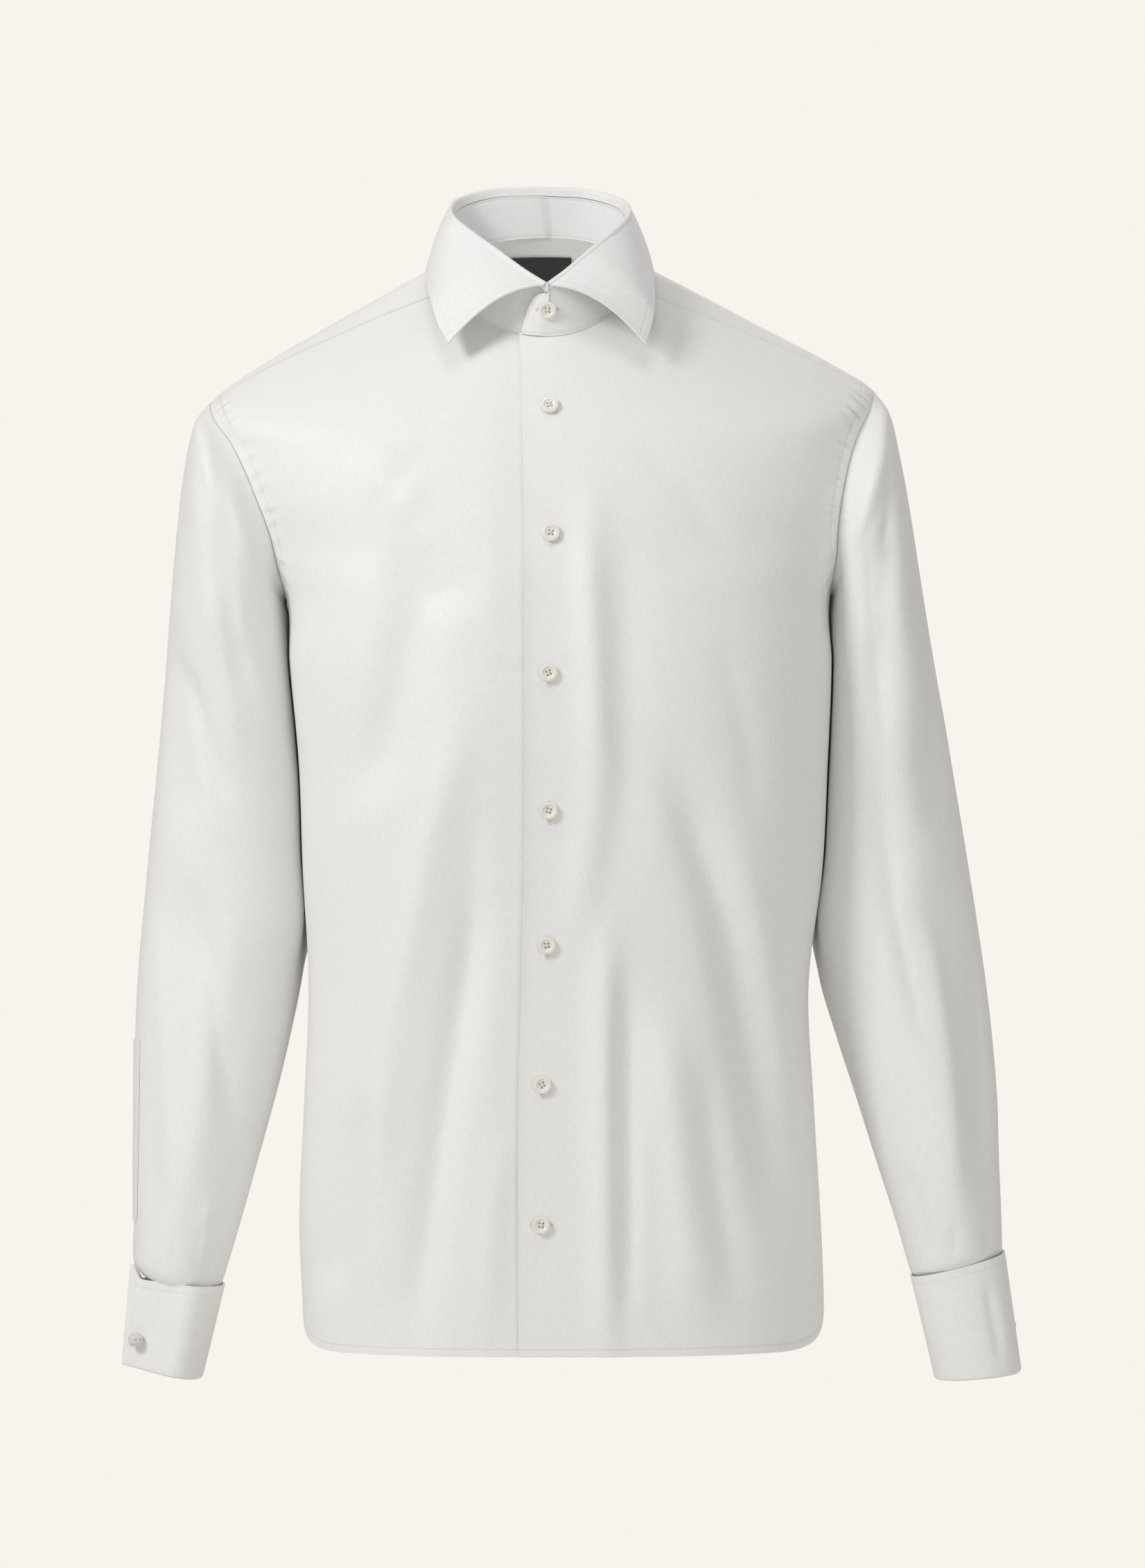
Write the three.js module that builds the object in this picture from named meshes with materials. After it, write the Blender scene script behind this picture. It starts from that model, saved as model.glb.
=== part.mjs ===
// A long sleeve dress shirt, filled out as worn with no wearer: every piece of cloth is a thin closed wall.
// Millimetres, +Z up, +X is the wearer's left, the front faces -Y.
// The origin is the centre of the neck ring, where the collar stand is sewn on.
import * as THREE from 'three';

// Driving dimensions
const CLOTH = 1.2;             // thickness of every cloth wall
const SEAM_GAP = 0.3;          // gap between two pieces at a seam
const FRONT_EDGE = 18;         // from the button line to the edge of the top front
const UNDERLAP = 2.0;          // how far the under front lies behind the top one
const HEM_FRONT = -725;        // height of the hem at the middle of the front
const HEM_BACK = -741;         // height of the hem at the middle of the back
const HEM_RISE = 52;           // how far the hem rises from the front middle to the side seams
const HEM_CURVE = 0.36;        // reach of that rise, as a share of a quarter of the hem
const HEM_POWER = 2.4;         // how square the hem's corners are
const BUTTON_RADIUS = 5.9;
const BUTTON_LIFT = 0.7;       // from the cloth to the back of a button, which hangs on its thread
const KNOT_RADIUS = 5.2;
const LINK_COLUMN = 2;         // column of the cuff that holds the link, from its ends
const LINK_DROP = 0.35;        // place of the link between the cuff's middle and its lower edge
const CUFF_INSIDE = 5;         // how far the cuff's inner layer stays below its turned-back one

// The body, a row for each level from the hem to the neck ring. level is the height of the front middle,
// the other columns are the places of the ring's four corners, and how square its front and back are.
const BODY_COLUMNS = ['level', 'mid', 'frontY', 'leftX', 'rightX', 'sideY', 'leftZ', 'rightZ', 'backY', 'backZ',
  'frontN', 'backN'];
const BODY = [
  [-760, 4.0, -119, -159, 195, -6, -760, -760, 120, -760, 2.5, 2.4],
  [-700, 4.0, -118.5, -161, 196, -6, -700, -700, 119, -700, 2.5, 2.4],
  [-640, 4.2, -118, -163.3, 193.8, -6, -640, -640, 117, -640, 2.5, 2.4],
  [-560, 4.6, -117, -160, 189, -6, -560, -560, 108, -560, 2.5, 2.4],
  [-480, 7.0, -117, -157, 185.5, -6, -480, -480, 100, -480, 2.5, 2.4],
  [-400, 9.0, -120, -161, 195, -6, -400, -400, 106, -400, 2.5, 2.4],
  [-330, 9.5, -124, -163.5, 198.5, -6, -330, -330, 120, -330, 2.5, 2.4],
  [-260, 9.5, -125, -170, 201.5, -4, -260, -260, 127, -260, 2.5, 2.4],
  [-215, 9.5, -122, -173, 201, 4, -215, -212, 127, -206, 2.5, 2.4],
  [-190, 9.5, -119, -192, 217, 8, -178, -172, 124, -174, 2.12, 2.1],
  [-160, 9.3, -113, -213, 228, 12, -135, -128, 118, -137, 2.05, 2.05],
  [-130, 9.0, -104, -224, 232, 15, -100, -91, 109, -96, 2.05, 2.05],
  [-112, 8.8, -97, -226, 231, 15, -80, -71.5, 102, -68, 2.0, 2.0],
  [-95, 8.5, -89, -190, 200, 16, -54, -52, 93, -36, 2.0, 2.0],
  [-78, 8.2, -80, -150, 157, 18, -31.5, -30.5, 83, -9, 2.0, 2.0],
  [-60, 7.6, -70, -106, 111, 20, -7, -7, 71, 14, 2.0, 2.0],
  [-38.4, 6.5, -56, -62, 62, 23, 15.8, 15.8, 56, 38.4, 2.0, 2.0],
];

// The armhole, a loop on the body round its shoulder: the span of levels, and its reach to front and back.
const ARMHOLE = { bottom: -215, top: -112, front: 0.215, back: 0.2, shape: 0.85 };
const ARM_STEPS = { front: 9, top: 4, back: 7 };
const YOKE_FRONT_ANGLE = 0.965 * Math.PI;
const YOKE_BACK_ANGLE = 1.21 * Math.PI;
const YOKE_NECK = 0.75;        // where the front yoke seam meets the neck, as a share of the front quarter
const YOKE_NECK_BACK = 1.35;   // share of the neck ring that faces the back end of the armhole's top
const YOKE_BOW = 0.2;          // how far the front yoke seam bows to the back
const YOKE_BACK_LEVEL = -115;  // level of the yoke seam at the middle of the back
const YOKE_ROWS = 5;
const BACK_COLUMNS = 16;
const FRONT_COLUMNS = 13;
const HEM_ROWS = 5;            // rows that follow the curve of the hem
const BODY_LEVELS = [-650, -620, -590, -560, -528, -496, -464, -432, -400, -368, -336, -304, -272, -243];

// The largest folds of the body, each a line from (x0, z0) over (x1, z1) to (x2, z2) seen from the front.
// A negative depth is a trough. Those with face 1 are on the front and those with face -1 on the back.
const FOLD_FADE = { past: 0.12, length: 0.3 };   // each fold fades out at its ends, as shares of its length
const SIDE_FADE = 0.2;         // the folds fade out this near the side, as a share of a quarter ring
const FOLD_COLUMNS = ['face', 'x0', 'z0', 'x1', 'z1', 'x2', 'z2', 'width', 'depth'];
const FOLDS = [
  [1, -74, -190, -88, -270, -113, -352, 20, -3.5],
  [1, -52, -300, -76, -421, -120, -620, 17, 3.5],
  [1, -40, -430, -64, -564, -80, -705, 13, -3.5],
  [1, -118, -560, -130, -620, -141, -685, 12, -2.5],
  [1, 34, -150, 41, -330, 24, -440, 13, 3.0],
  [1, 46, -440, 45, -560, 47, -722, 11, 3.5],
  [1, 92, -330, 128, -430, 166, -640, 17, -4.5],
  [1, 88, -500, 98, -600, 112, -700, 15, 2.5],
  [-1, -70, -150, -64, -300, -52, -470, 22, -4],
  [-1, 84, -160, 76, -310, 60, -480, 22, -4],
  [-1, -96, -470, -90, -560, -104, -700, 18, 3.5],
  [-1, 20, -330, 16, -480, 30, -640, 24, 3],
  [-1, 122, -440, 116, -560, 132, -690, 16, 3],
];

// The sleeves, a row for each ring below the armhole: its inner and outer point, the middle and half of its
// depth. The last row is inside the cuff.
const SLEEVE_COLUMNS = ['innerX', 'innerZ', 'outerX', 'outerZ', 'midY', 'halfY'];
const SLEEVE_RIGHT = [
  [-175, -220, -236, -94, 10, 70],
  [-174.8, -226, -243, -124, 11, 71],
  [-174, -234, -248.5, -168, 13, 71],
  [-172.6, -246, -253, -218, 15, 71],
  [-171, -265, -256.5, -262, 17, 70],
  [-167.5, -303, -260, -303, 19, 69],
  [-164.5, -345, -264, -345, 20, 67],
  [-162.5, -390, -268.5, -390, 20, 65],
  [-159.5, -435, -272.5, -435, 18, 63],
  [-162.6, -476, -275.7, -476, 14, 60],
  [-171, -518, -277.2, -518, 9, 57],
  [-181, -560, -277.2, -560, 4, 54],
  [-193, -604, -277.2, -604, -1, 51],
  [-204.5, -645, -276.8, -641, -6, 48],
  [-212.5, -676, -276.7, -661, -10, 46],
  [-217.5, -685.4, -262.5, -674.4, -12, 37],
  [-219, -691.4, -260.5, -681.4, -12, 35.5],
];
const SLEEVE_LEFT = [
  [203, -218, 242, -88, 10, 70],
  [203, -224, 249.5, -120, 11, 71],
  [202.8, -232, 257, -163, 13, 71],
  [202, -244, 265, -212, 15, 71],
  [201.5, -264, 273, -258, 17, 70],
  [200, -303, 281, -303, 19, 69],
  [198.5, -345, 288, -345, 20, 67],
  [196.5, -390, 295.5, -390, 20, 65],
  [191.5, -435, 302.5, -435, 18, 63],
  [193.8, -476, 308.5, -476, 14, 60],
  [206, -518, 313, -518, 9, 57],
  [219.5, -560, 316, -560, 4, 54],
  [233.3, -604, 316.8, -604, -1, 51],
  [245.5, -642, 317.8, -636, -5, 48],
  [253, -668, 318.8, -650, -8, 46],
  [259.5, -676.9, 318.5, -661.4, -6.5, 37.2],
  [260, -683.2, 318, -668.0, -6.5, 36.8],
];

// The largest folds of the sleeves, from (level0, angle0) to (level1, angle1) down the tube.
// An angle of 0 faces the body, 90 the front, 180 the outside and 270 the back.
const SLEEVE_FOLD_FADE = { past: 0.1, length: 0.35 };
const LEFT_FOLD_TURN = 5;      // the left sleeve's folds lie this many degrees further round
const SLEEVE_FOLD_COLUMNS = ['level0', 'angle0', 'level1', 'angle1', 'width', 'depth'];
const SLEEVE_FOLDS = [
  [-120, 140, -250, 96, 14, 3.0],
  [-150, 120, -300, 70, 14, -2.5],
  [-230, 150, -380, 118, 18, -3.0],
  [-400, 118, -640, 128, 20, -3.0],
  [-420, 84, -640, 92, 16, 2.5],
  [-180, 245, -330, 280, 18, -3.0],
  [-380, 290, -620, 262, 20, -3.0],
  [-420, 235, -630, 228, 16, 2.5],
];

// The collar, a row for each place from the front (place 0) to the middle of the back (place 1): the top of
// the fold, the free edge of the leaf, and how far the leaf bulges outwards and upwards between them.
const COLLAR_COLUMNS = ['place', 'foldX', 'foldY', 'foldZ', 'edgeX', 'edgeY', 'edgeZ', 'out', 'up'];
const COLLAR = [
  [0.0, 0.9, -63, -4, 66.3, -73, -45.5, 0, 19],
  [0.1, 14.5, -55, 6, 71.5, -62, -33, 5, 12],
  [0.21, 31, -43, 20, 75, -49, -19, 7, 6],
  [0.46, 58.5, -7, 45, 77.5, -9, 1.5, 6, 0],
  [0.58, 61.5, 18, 55.5, 77.8, 20, 12.5, 5, 0],
  [0.7, 55, 40, 64, 71, 49, 20, 5, 0],
  [0.84, 33, 54, 71, 44, 71, 25, 5, 0],
  [1.0, 0, 58, 73, 0, 79, 28, 5, 0],
];
const COLLAR_MID = 6.5;        // the collar's front point lies this far towards the wearer's left
const FOLD_RADIUS = 1.7;       // of the leaf's fold
const LEAF_INSIDE = 4.5;       // depth of the leaf inside the fold, where the stand is sewn on
const STAND_ENDS = { over: 16, under: 15 };
const END_DROP = 1.5;          // the stand's ends lie this far below the leaf
const COLLAR_STEPS = 16;
const COLLAR_EVEN = 0.75;      // share of the collar's columns that are evenly spaced, the rest crowd the front
const STAND_TIP = 0.45;        // height of the stand's rounded ends, as a share of its own

// The strip beside the sleeve's slit: its rows and its column on each sleeve
const PLACKET = { firstRow: 11, lastRow: 14, left: 13, right: 8 };

// The cuffs in plan, at the inner face of the inner layer: outward is away from the body, y to the back.
const CUFF_COLUMNS = ['rightOut', 'rightY', 'leftOut', 'leftY'];
const CUFF_PLAN = [
  [38, -14.9, 23.4, 50.4],
  [30, -18.6, 15, 41.5],
  [20, -24.6, 5, 38.5],
  [9, -31.0, -12, 34],
  [-6, -37.0, -26, 21],
  [-19, -29, -32, 0],
  [-25, -9, -29, -22],
  [-23, 14, -14, -36],
  [-12, 32, 6, -38],
  [4, 36, 24, -29],
  [16, 24, 32.5, -9],
  [22, 4, 32.5, 12],
  [26, -9, 28.5, 30],
  [31, -13.3, 26, 41],
  [38, -13.9, 24.4, 49.8],
];
const CUFF_STEPS = 28;
const CUFFS = {
  right: { side: -1, midX: -240, midY: -12, lowX: -251.4, narrow: 0.16, top: [-278, -672, -0.238],
    bottom: [-283.3, -742, -0.17] },
  left: { side: 1, midX: 289, midY: -6, lowX: 302.6, narrow: 0.09, top: [257, -679, 0.262],
    bottom: [273, -750, 0.093] },
};
const CUFF_LAYER = 2.4;        // from one layer's face to the other's

// The buttons: place to the side and height, and the collar button's own
const BUTTONS = [[8.4, -88.9], [9.5, -175.3], [9.5, -268.7], [9.5, -360.3], [7.9, -450.2], [4.7, -543.3],
  [4.2, -636.7]];

const COLLAR_BUTTON_HEIGHT = -21.8;

const LABEL = { halfWidth: 23.5, low: -88, high: -46, inside: 0.9, thickness: 1.0, rows: 3, columns: 4 };

const CLOTH_COLOUR = '#ececea';
const BUTTON_COLOUR = '#ece8d8';

// Small helpers
const vec = (x, y, z) => new THREE.Vector3(x, y, z);
const mix = (a, b, t) => a + (b - a) * t;
const clamp = (t) => Math.min(1, Math.max(0, t));
const smooth = (t) => clamp(t) ** 2 * (3 - 2 * clamp(t));
const signedPower = (t, p) => Math.sign(t) * Math.abs(t) ** p;

function named(columns, row) {
  return Object.fromEntries(columns.map((name, i) => [name, row[i]]));
}

// A value between the rows of a table, on a smooth curve through them. The first column is the place.
function along(table, columns, place) {
  const last = table.length - 2;
  let i = table.findIndex((row) => row[0] > place) - 1;
  if (i < 0) i = place <= table[0][0] ? 0 : last;
  const [a, b] = [table[i], table[i + 1]];
  const before = table[Math.max(0, i - 1)];
  const after = table[Math.min(table.length - 1, i + 2)];
  const span = b[0] - a[0];
  const t = clamp((place - a[0]) / span);
  const value = columns.map((_, c) => {
    const slopeA = (b[c] - before[c]) / (b[0] - before[0]) * span;
    const slopeB = (after[c] - a[c]) / (after[0] - a[0]) * span;
    const [t2, t3] = [t * t, t * t * t];
    return (2 * t3 - 3 * t2 + 1) * a[c] + (t3 - 2 * t2 + t) * slopeA
      + (3 * t2 - 2 * t3) * b[c] + (t3 - t2) * slopeB;
  });
  return named(columns, value);
}

// A quarter of a rounded ring: its points at equal angles, and the length up to each.
const QUARTER_STEPS = 60;
const quarterCache = new Map();

function quarter(level, side, isFront) {
  const key = `${level.toFixed(5)} ${side} ${isFront}`;
  if (quarterCache.has(key)) return quarterCache.get(key);
  const ring = along(BODY, BODY_COLUMNS, level);
  const centre = vec(ring.mid, ring.sideY, side > 0 ? ring.rightZ : ring.leftZ);
  const across = vec((side > 0 ? ring.rightX : ring.leftX) - ring.mid, 0, 0);
  const deep = isFront
    ? vec(0, ring.frontY - ring.sideY, level - centre.z)
    : vec(0, ring.backY - ring.sideY, ring.backZ - centre.z);
  const power = 2 / (isFront ? ring.frontN : ring.backN);
  const points = [];
  const lengths = [0];
  for (let i = 0; i <= QUARTER_STEPS; i += 1) {
    const angle = (Math.PI / 2) * (i / QUARTER_STEPS);
    const point = centre.clone()
      .addScaledVector(across, signedPower(Math.sin(angle), power))
      .addScaledVector(deep, signedPower(Math.cos(angle), power));
    points.push(point);
    if (i > 0) lengths.push(lengths[i - 1] + point.distanceTo(points[i - 1]));
  }
  const result = { points, lengths, total: lengths[QUARTER_STEPS] };
  quarterCache.set(key, result);
  return result;
}

// A point of the plain body. share runs from 0 at the front middle over 1 at the side to 2 at the back
// middle, and below 0 or above 2 it goes on over the middle to the other side.
function bodyPlain(side, share, level) {
  if (share < 0) return bodyPlain(-side, -share, level);
  if (share > 2) return bodyPlain(-side, 4 - share, level);
  const isFront = share <= 1;
  const arc = quarter(level, side, isFront);
  const goal = arc.total * (isFront ? share : 2 - share);
  let i = arc.lengths.findIndex((length) => length > goal);
  if (i < 0) i = QUARTER_STEPS;
  if (i === 0) i = 1;
  const t = (goal - arc.lengths[i - 1]) / (arc.lengths[i] - arc.lengths[i - 1]);
  return arc.points[i - 1].clone().lerp(arc.points[i], t);
}

function bodyNormal(side, share, level) {
  const stepShare = 0.02;
  const stepLevel = 2.5;
  const high = Math.min(level + stepLevel, BODY.at(-1)[0]);
  const low = Math.max(level - stepLevel, BODY[0][0]);
  const around = bodyPlain(side, share + stepShare, level).sub(bodyPlain(side, share - stepShare, level));
  const up = bodyPlain(side, share, high).sub(bodyPlain(side, share, low));
  return around.cross(up).multiplyScalar(side).normalize();
}

function fadeAtEnds(t, fade) {
  return smooth((t + fade.past) / fade.length) * smooth((1 + fade.past - t) / fade.length);
}

// How far the folds lift the cloth at a point
function foldHeight(point, isFront) {
  let height = 0;
  for (const row of FOLDS) {
    const fold = named(FOLD_COLUMNS, row);
    if ((fold.face > 0) !== isFront) continue;
    const t = (fold.z0 - point.z) / (fold.z0 - fold.z2);
    const fade = fadeAtEnds(t, FOLD_FADE);
    const knee = (fold.z0 - fold.z1) / (fold.z0 - fold.z2);
    const x = t < knee ? mix(fold.x0, fold.x1, t / knee) : mix(fold.x1, fold.x2, (t - knee) / (1 - knee));
    height += fold.depth * fade * Math.exp(-(((point.x - x) / fold.width) ** 2));
  }
  return height;
}

// The outer face of the cloth on the body, and its normal. lift moves it out.
function bodyPoint(side, share, level, lift = 0) {
  const point = bodyPlain(side, share, level);
  const normal = bodyNormal(side, share, level);
  const nearSide = smooth(Math.abs(share - 1) / SIDE_FADE);
  const height = foldHeight(point, share < 1) * nearSide;
  return { point: point.addScaledVector(normal, height + lift), normal };
}

// A closed wall from two grids of points. ringed walls close on themselves along their columns.
function wall(outer, inner, ringed = false) {
  const rows = outer.length;
  const columns = outer[0].length;
  const positions = [];
  for (const grid of [outer, inner]) {
    for (const row of grid) {
      for (const point of row) positions.push(point.x, point.y, point.z);
    }
  }
  const at = (layer, i, j) => layer * rows * columns + i * columns + (j % columns);
  const index = [];
  const quad = (a, b, c, d) => index.push(a, b, c, a, c, d);
  const lastColumn = ringed ? columns : columns - 1;
  for (let i = 0; i < rows - 1; i += 1) {
    for (let j = 0; j < lastColumn; j += 1) {
      quad(at(0, i, j), at(0, i, j + 1), at(0, i + 1, j + 1), at(0, i + 1, j));
      quad(at(1, i, j), at(1, i + 1, j), at(1, i + 1, j + 1), at(1, i, j + 1));
    }
  }
  for (let j = 0; j < lastColumn; j += 1) {
    quad(at(0, 0, j), at(1, 0, j), at(1, 0, j + 1), at(0, 0, j + 1));
    quad(at(0, rows - 1, j), at(0, rows - 1, j + 1), at(1, rows - 1, j + 1), at(1, rows - 1, j));
  }
  if (!ringed) {
    for (let i = 0; i < rows - 1; i += 1) {
      quad(at(0, i, 0), at(0, i + 1, 0), at(1, i + 1, 0), at(1, i, 0));
      quad(at(0, i, columns - 1), at(1, i, columns - 1), at(1, i + 1, columns - 1), at(0, i + 1, columns - 1));
    }
  }
  const geometry = new THREE.BufferGeometry();
  geometry.setAttribute('position', new THREE.Float32BufferAttribute(positions, 3));
  geometry.setIndex(signedVolume(positions, index) < 0 ? flipped(index) : index);
  geometry.computeVertexNormals();
  return geometry;
}

function signedVolume(positions, index) {
  let sum = 0;
  const corner = (k) => vec(positions[3 * k], positions[3 * k + 1], positions[3 * k + 2]);
  for (let k = 0; k < index.length; k += 3) {
    sum += corner(index[k]).dot(corner(index[k + 1]).cross(corner(index[k + 2]))) / 6;
  }
  return sum;
}

function flipped(index) {
  const turned = [];
  for (let k = 0; k < index.length; k += 3) turned.push(index[k], index[k + 2], index[k + 1]);
  return turned;
}

// Normals of a grid of points from its neighbours
function gridNormals(grid, ringed = false) {
  const rows = grid.length;
  const columns = grid[0].length;
  return grid.map((row, i) => row.map((_, j) => {
    const up = grid[Math.min(i + 1, rows - 1)][j].clone().sub(grid[Math.max(i - 1, 0)][j]);
    const next = ringed ? (j + 1) % columns : Math.min(j + 1, columns - 1);
    const previous = ringed ? (j + columns - 1) % columns : Math.max(j - 1, 0);
    return grid[i][next].clone().sub(grid[i][previous]).cross(up).normalize();
  }));
}

function offsetGrid(grid, normals, distance) {
  return grid.map((row, i) => row.map((point, j) => point.clone().addScaledVector(normals[i][j], distance)));
}

// A panel of cells { point, normal }, pulled back by half a seam gap at the named edges
function panel(cells, edges, thickness = CLOTH) {
  const last = cells.length - 1;
  const lastColumn = cells[0].length - 1;
  const pull = (cell, neighbour) => neighbour.point.clone().sub(cell.point).setLength(SEAM_GAP / 2);
  const outer = cells.map((row, i) => row.map((cell, j) => {
    const point = cell.point.clone();
    if (edges.includes('bottom') && i === 0) point.add(pull(cell, cells[1][j]));
    if (edges.includes('top') && i === last) point.add(pull(cell, cells[last - 1][j]));
    if (edges.includes('start') && j === 0) point.add(pull(cell, row[1]));
    if (edges.includes('end') && j === lastColumn) point.add(pull(cell, row[lastColumn - 1]));
    return point;
  }));
  const inner = outer.map((row, i) => row.map((point, j) => (
    point.clone().addScaledVector(cells[i][j].normal, -thickness))));
  return wall(outer, inner);
}

// Seams of the body

function armholePlace(angle) {
  const middle = (ARMHOLE.bottom + ARMHOLE.top) / 2;
  const half = (ARMHOLE.top - ARMHOLE.bottom) / 2;
  const reach = Math.abs(Math.sin(angle)) ** ARMHOLE.shape;
  const share = angle < Math.PI ? 1 - ARMHOLE.front * reach : 1 + ARMHOLE.back * reach;
  return { share, level: middle - half * Math.cos(angle) };
}

function angles(from, to, steps) {
  return Array.from({ length: steps + 1 }, (_, i) => mix(from, to, i / steps));
}

const FRONT_ARM_ANGLES = angles(0, YOKE_FRONT_ANGLE, ARM_STEPS.front);
const TOP_ARM_ANGLES = angles(YOKE_FRONT_ANGLE, YOKE_BACK_ANGLE, ARM_STEPS.top);
const BACK_ARM_ANGLES = angles(YOKE_BACK_ANGLE, 2 * Math.PI, ARM_STEPS.back);

// The front yoke seam, from the armhole (way 0) to the neck (way 1)
function yokeFrontPlace(way) {
  const start = armholePlace(YOKE_FRONT_ANGLE);
  const bow = YOKE_BOW * way * (1 - way);
  return { share: mix(start.share, YOKE_NECK, way) + bow, level: mix(start.level, BODY.at(-1)[0], way) };
}

// The back yoke seam, from the armhole to the middle of the back
function yokeBackPlace(way) {
  const start = armholePlace(YOKE_BACK_ANGLE);
  return { share: 1 + way + (start.share - 1) * (1 - way) ** 2, level: mix(start.level, YOKE_BACK_LEVEL, smooth(way)) };
}

function hemLevel(share) {
  const base = share < 1 ? HEM_FRONT : mix(HEM_FRONT, HEM_BACK, smooth((share - 1) / 0.4));
  const nearness = clamp(1 - Math.abs(share - 1) / HEM_CURVE);
  const curve = 1 - Math.sqrt(1 - nearness ** HEM_POWER);
  return base + (HEM_RISE + HEM_FRONT - base) * curve;
}

// Levels of the rows below the armhole. The lowest rows follow the hem at each share.
function lowLevel(row, share) {
  if (row >= HEM_ROWS) return BODY_LEVELS[row - HEM_ROWS];
  const way = row / HEM_ROWS;
  return mix(hemLevel(share), BODY_LEVELS[0], way);
}
const LOW_ROWS = HEM_ROWS + BODY_LEVELS.length;

// How far the wearer's right front and the collar stand's under end lie behind, at x from the button line
const UNDERLAP_START = -44;
const UNDERLAP_EASE = 30;

function underlap(x) {
  return -UNDERLAP * smooth((x - UNDERLAP_START) / UNDERLAP_EASE);
}

// Pieces of the body

function frontPanel(side) {
  const isTop = side > 0;
  const rows = [];
  for (let row = 0; row < LOW_ROWS; row += 1) rows.push({ share: 1, row });
  FRONT_ARM_ANGLES.forEach((angle) => rows.push(armholePlace(angle)));
  for (let way = 1; way <= YOKE_ROWS; way += 1) rows.push(yokeFrontPlace(way / YOKE_ROWS));
  const cells = rows.map((place) => {
    const edgeLevel = place.level ?? lowLevel(place.row, 0);
    const edge = -FRONT_EDGE / quarter(edgeLevel, side, true).total;
    return Array.from({ length: FRONT_COLUMNS + 1 }, (_, j) => {
      const way = (j - 1) / (FRONT_COLUMNS - 1);
      const share = j === 0 ? edge : way - (1 - place.share) * way ** 2;
      const level = place.level ?? lowLevel(place.row, Math.abs(share));
      const cell = bodyPoint(side, share, level);
      const lift = isTop ? 0 : underlap(cell.point.x - along(BODY, BODY_COLUMNS, level).mid);
      cell.point.addScaledVector(cell.normal, lift);
      return cell;
    });
  });
  return panel(cells, ['end', 'top']);
}

function backPanel() {
  const sides = [-1, 1];
  const heights = [];
  for (let row = 0; row < LOW_ROWS; row += 1) heights.push({ share: 1, row });
  [...BACK_ARM_ANGLES].reverse().forEach((angle) => heights.push(armholePlace(angle)));
  const top = heights.length - 1;
  const armStart = LOW_ROWS;
  const cells = heights.map((place, i) => {
    const line = [];
    for (let j = 0; j <= BACK_COLUMNS; j += 1) {
      const across = (2 * j) / BACK_COLUMNS - 1;
      const side = across < 0 ? sides[0] : sides[1];
      const way = 1 - Math.abs(across);
      const share = 1 + way + (place.share - 1) * (1 - way) ** 2;
      let level = place.level ?? lowLevel(place.row, share);
      if (i >= armStart) {
        const rise = yokeBackPlace(way).level - armholePlace(YOKE_BACK_ANGLE).level;
        level += rise * smooth((i - armStart) / (top - armStart));
      }
      line.push(bodyPoint(side, share, level));
    }
    return line;
  });
  return panel(cells, ['start', 'end', 'top']);
}

// The outer edge of the yoke: front junction, over the armhole, along the back seam, and back to the front
function yokeOuterPlaces() {
  const places = [];
  TOP_ARM_ANGLES.forEach((angle, i) => places.push({
    side: -1, ...armholePlace(angle), neck: mix(YOKE_NECK, YOKE_NECK_BACK, i / ARM_STEPS.top), near: 1 - i / ARM_STEPS.top,
  }));
  for (let j = 1; j < BACK_COLUMNS; j += 1) {
    const across = (2 * j) / BACK_COLUMNS - 1;
    const way = 1 - Math.abs(across);
    places.push({ side: across < 0 ? -1 : 1, ...yokeBackPlace(way), neck: mix(YOKE_NECK_BACK, 2, way), near: 0 });
  }
  const first = places.slice(0, ARM_STEPS.top + 1).map((place) => ({ ...place, side: 1 }));
  return [...places, ...first.reverse()];
}

function yokePanel() {
  const outer = yokeOuterPlaces();
  const neckLevel = BODY.at(-1)[0];
  const cells = [];
  for (let i = 0; i <= YOKE_ROWS; i += 1) {
    const way = i / YOKE_ROWS;
    cells.push(outer.map((place) => {
      const bow = YOKE_BOW * way * (1 - way) * place.near;
      return bodyPoint(place.side, mix(place.share, place.neck, way) + bow, mix(place.level, neckLevel, way));
    }));
  }
  return panelWithFreeArmhole(cells);
}

// The yoke's lower edge is a seam only along the back: at the armholes the sleeve makes the gap.
function panelWithFreeArmhole(cells) {
  const first = ARM_STEPS.top;
  const last = cells[0].length - 1 - ARM_STEPS.top;
  cells[0].forEach((cell, j) => {
    if (j < first || j > last) return;
    cell.point.add(cells[1][j].point.clone().sub(cell.point).setLength(SEAM_GAP / 2));
  });
  return panel(cells, ['start', 'end', 'top']);
}

// Sleeves

function sleeveFold(level, degrees, side) {
  let height = 0;
  for (const row of SLEEVE_FOLDS) {
    const fold = named(SLEEVE_FOLD_COLUMNS, row);
    const t = (fold.level0 - level) / (fold.level0 - fold.level1);
    const fade = fadeAtEnds(t, SLEEVE_FOLD_FADE);
    const apart = degrees - mix(fold.angle0, fold.angle1, t) - (side > 0 ? LEFT_FOLD_TURN : 0);
    height += fold.depth * fade * Math.exp(-((apart / fold.width) ** 2));
  }
  return height;
}

const ARM_ANGLES = [...FRONT_ARM_ANGLES, ...TOP_ARM_ANGLES.slice(1), ...BACK_ARM_ANGLES.slice(1, -1)];

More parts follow.
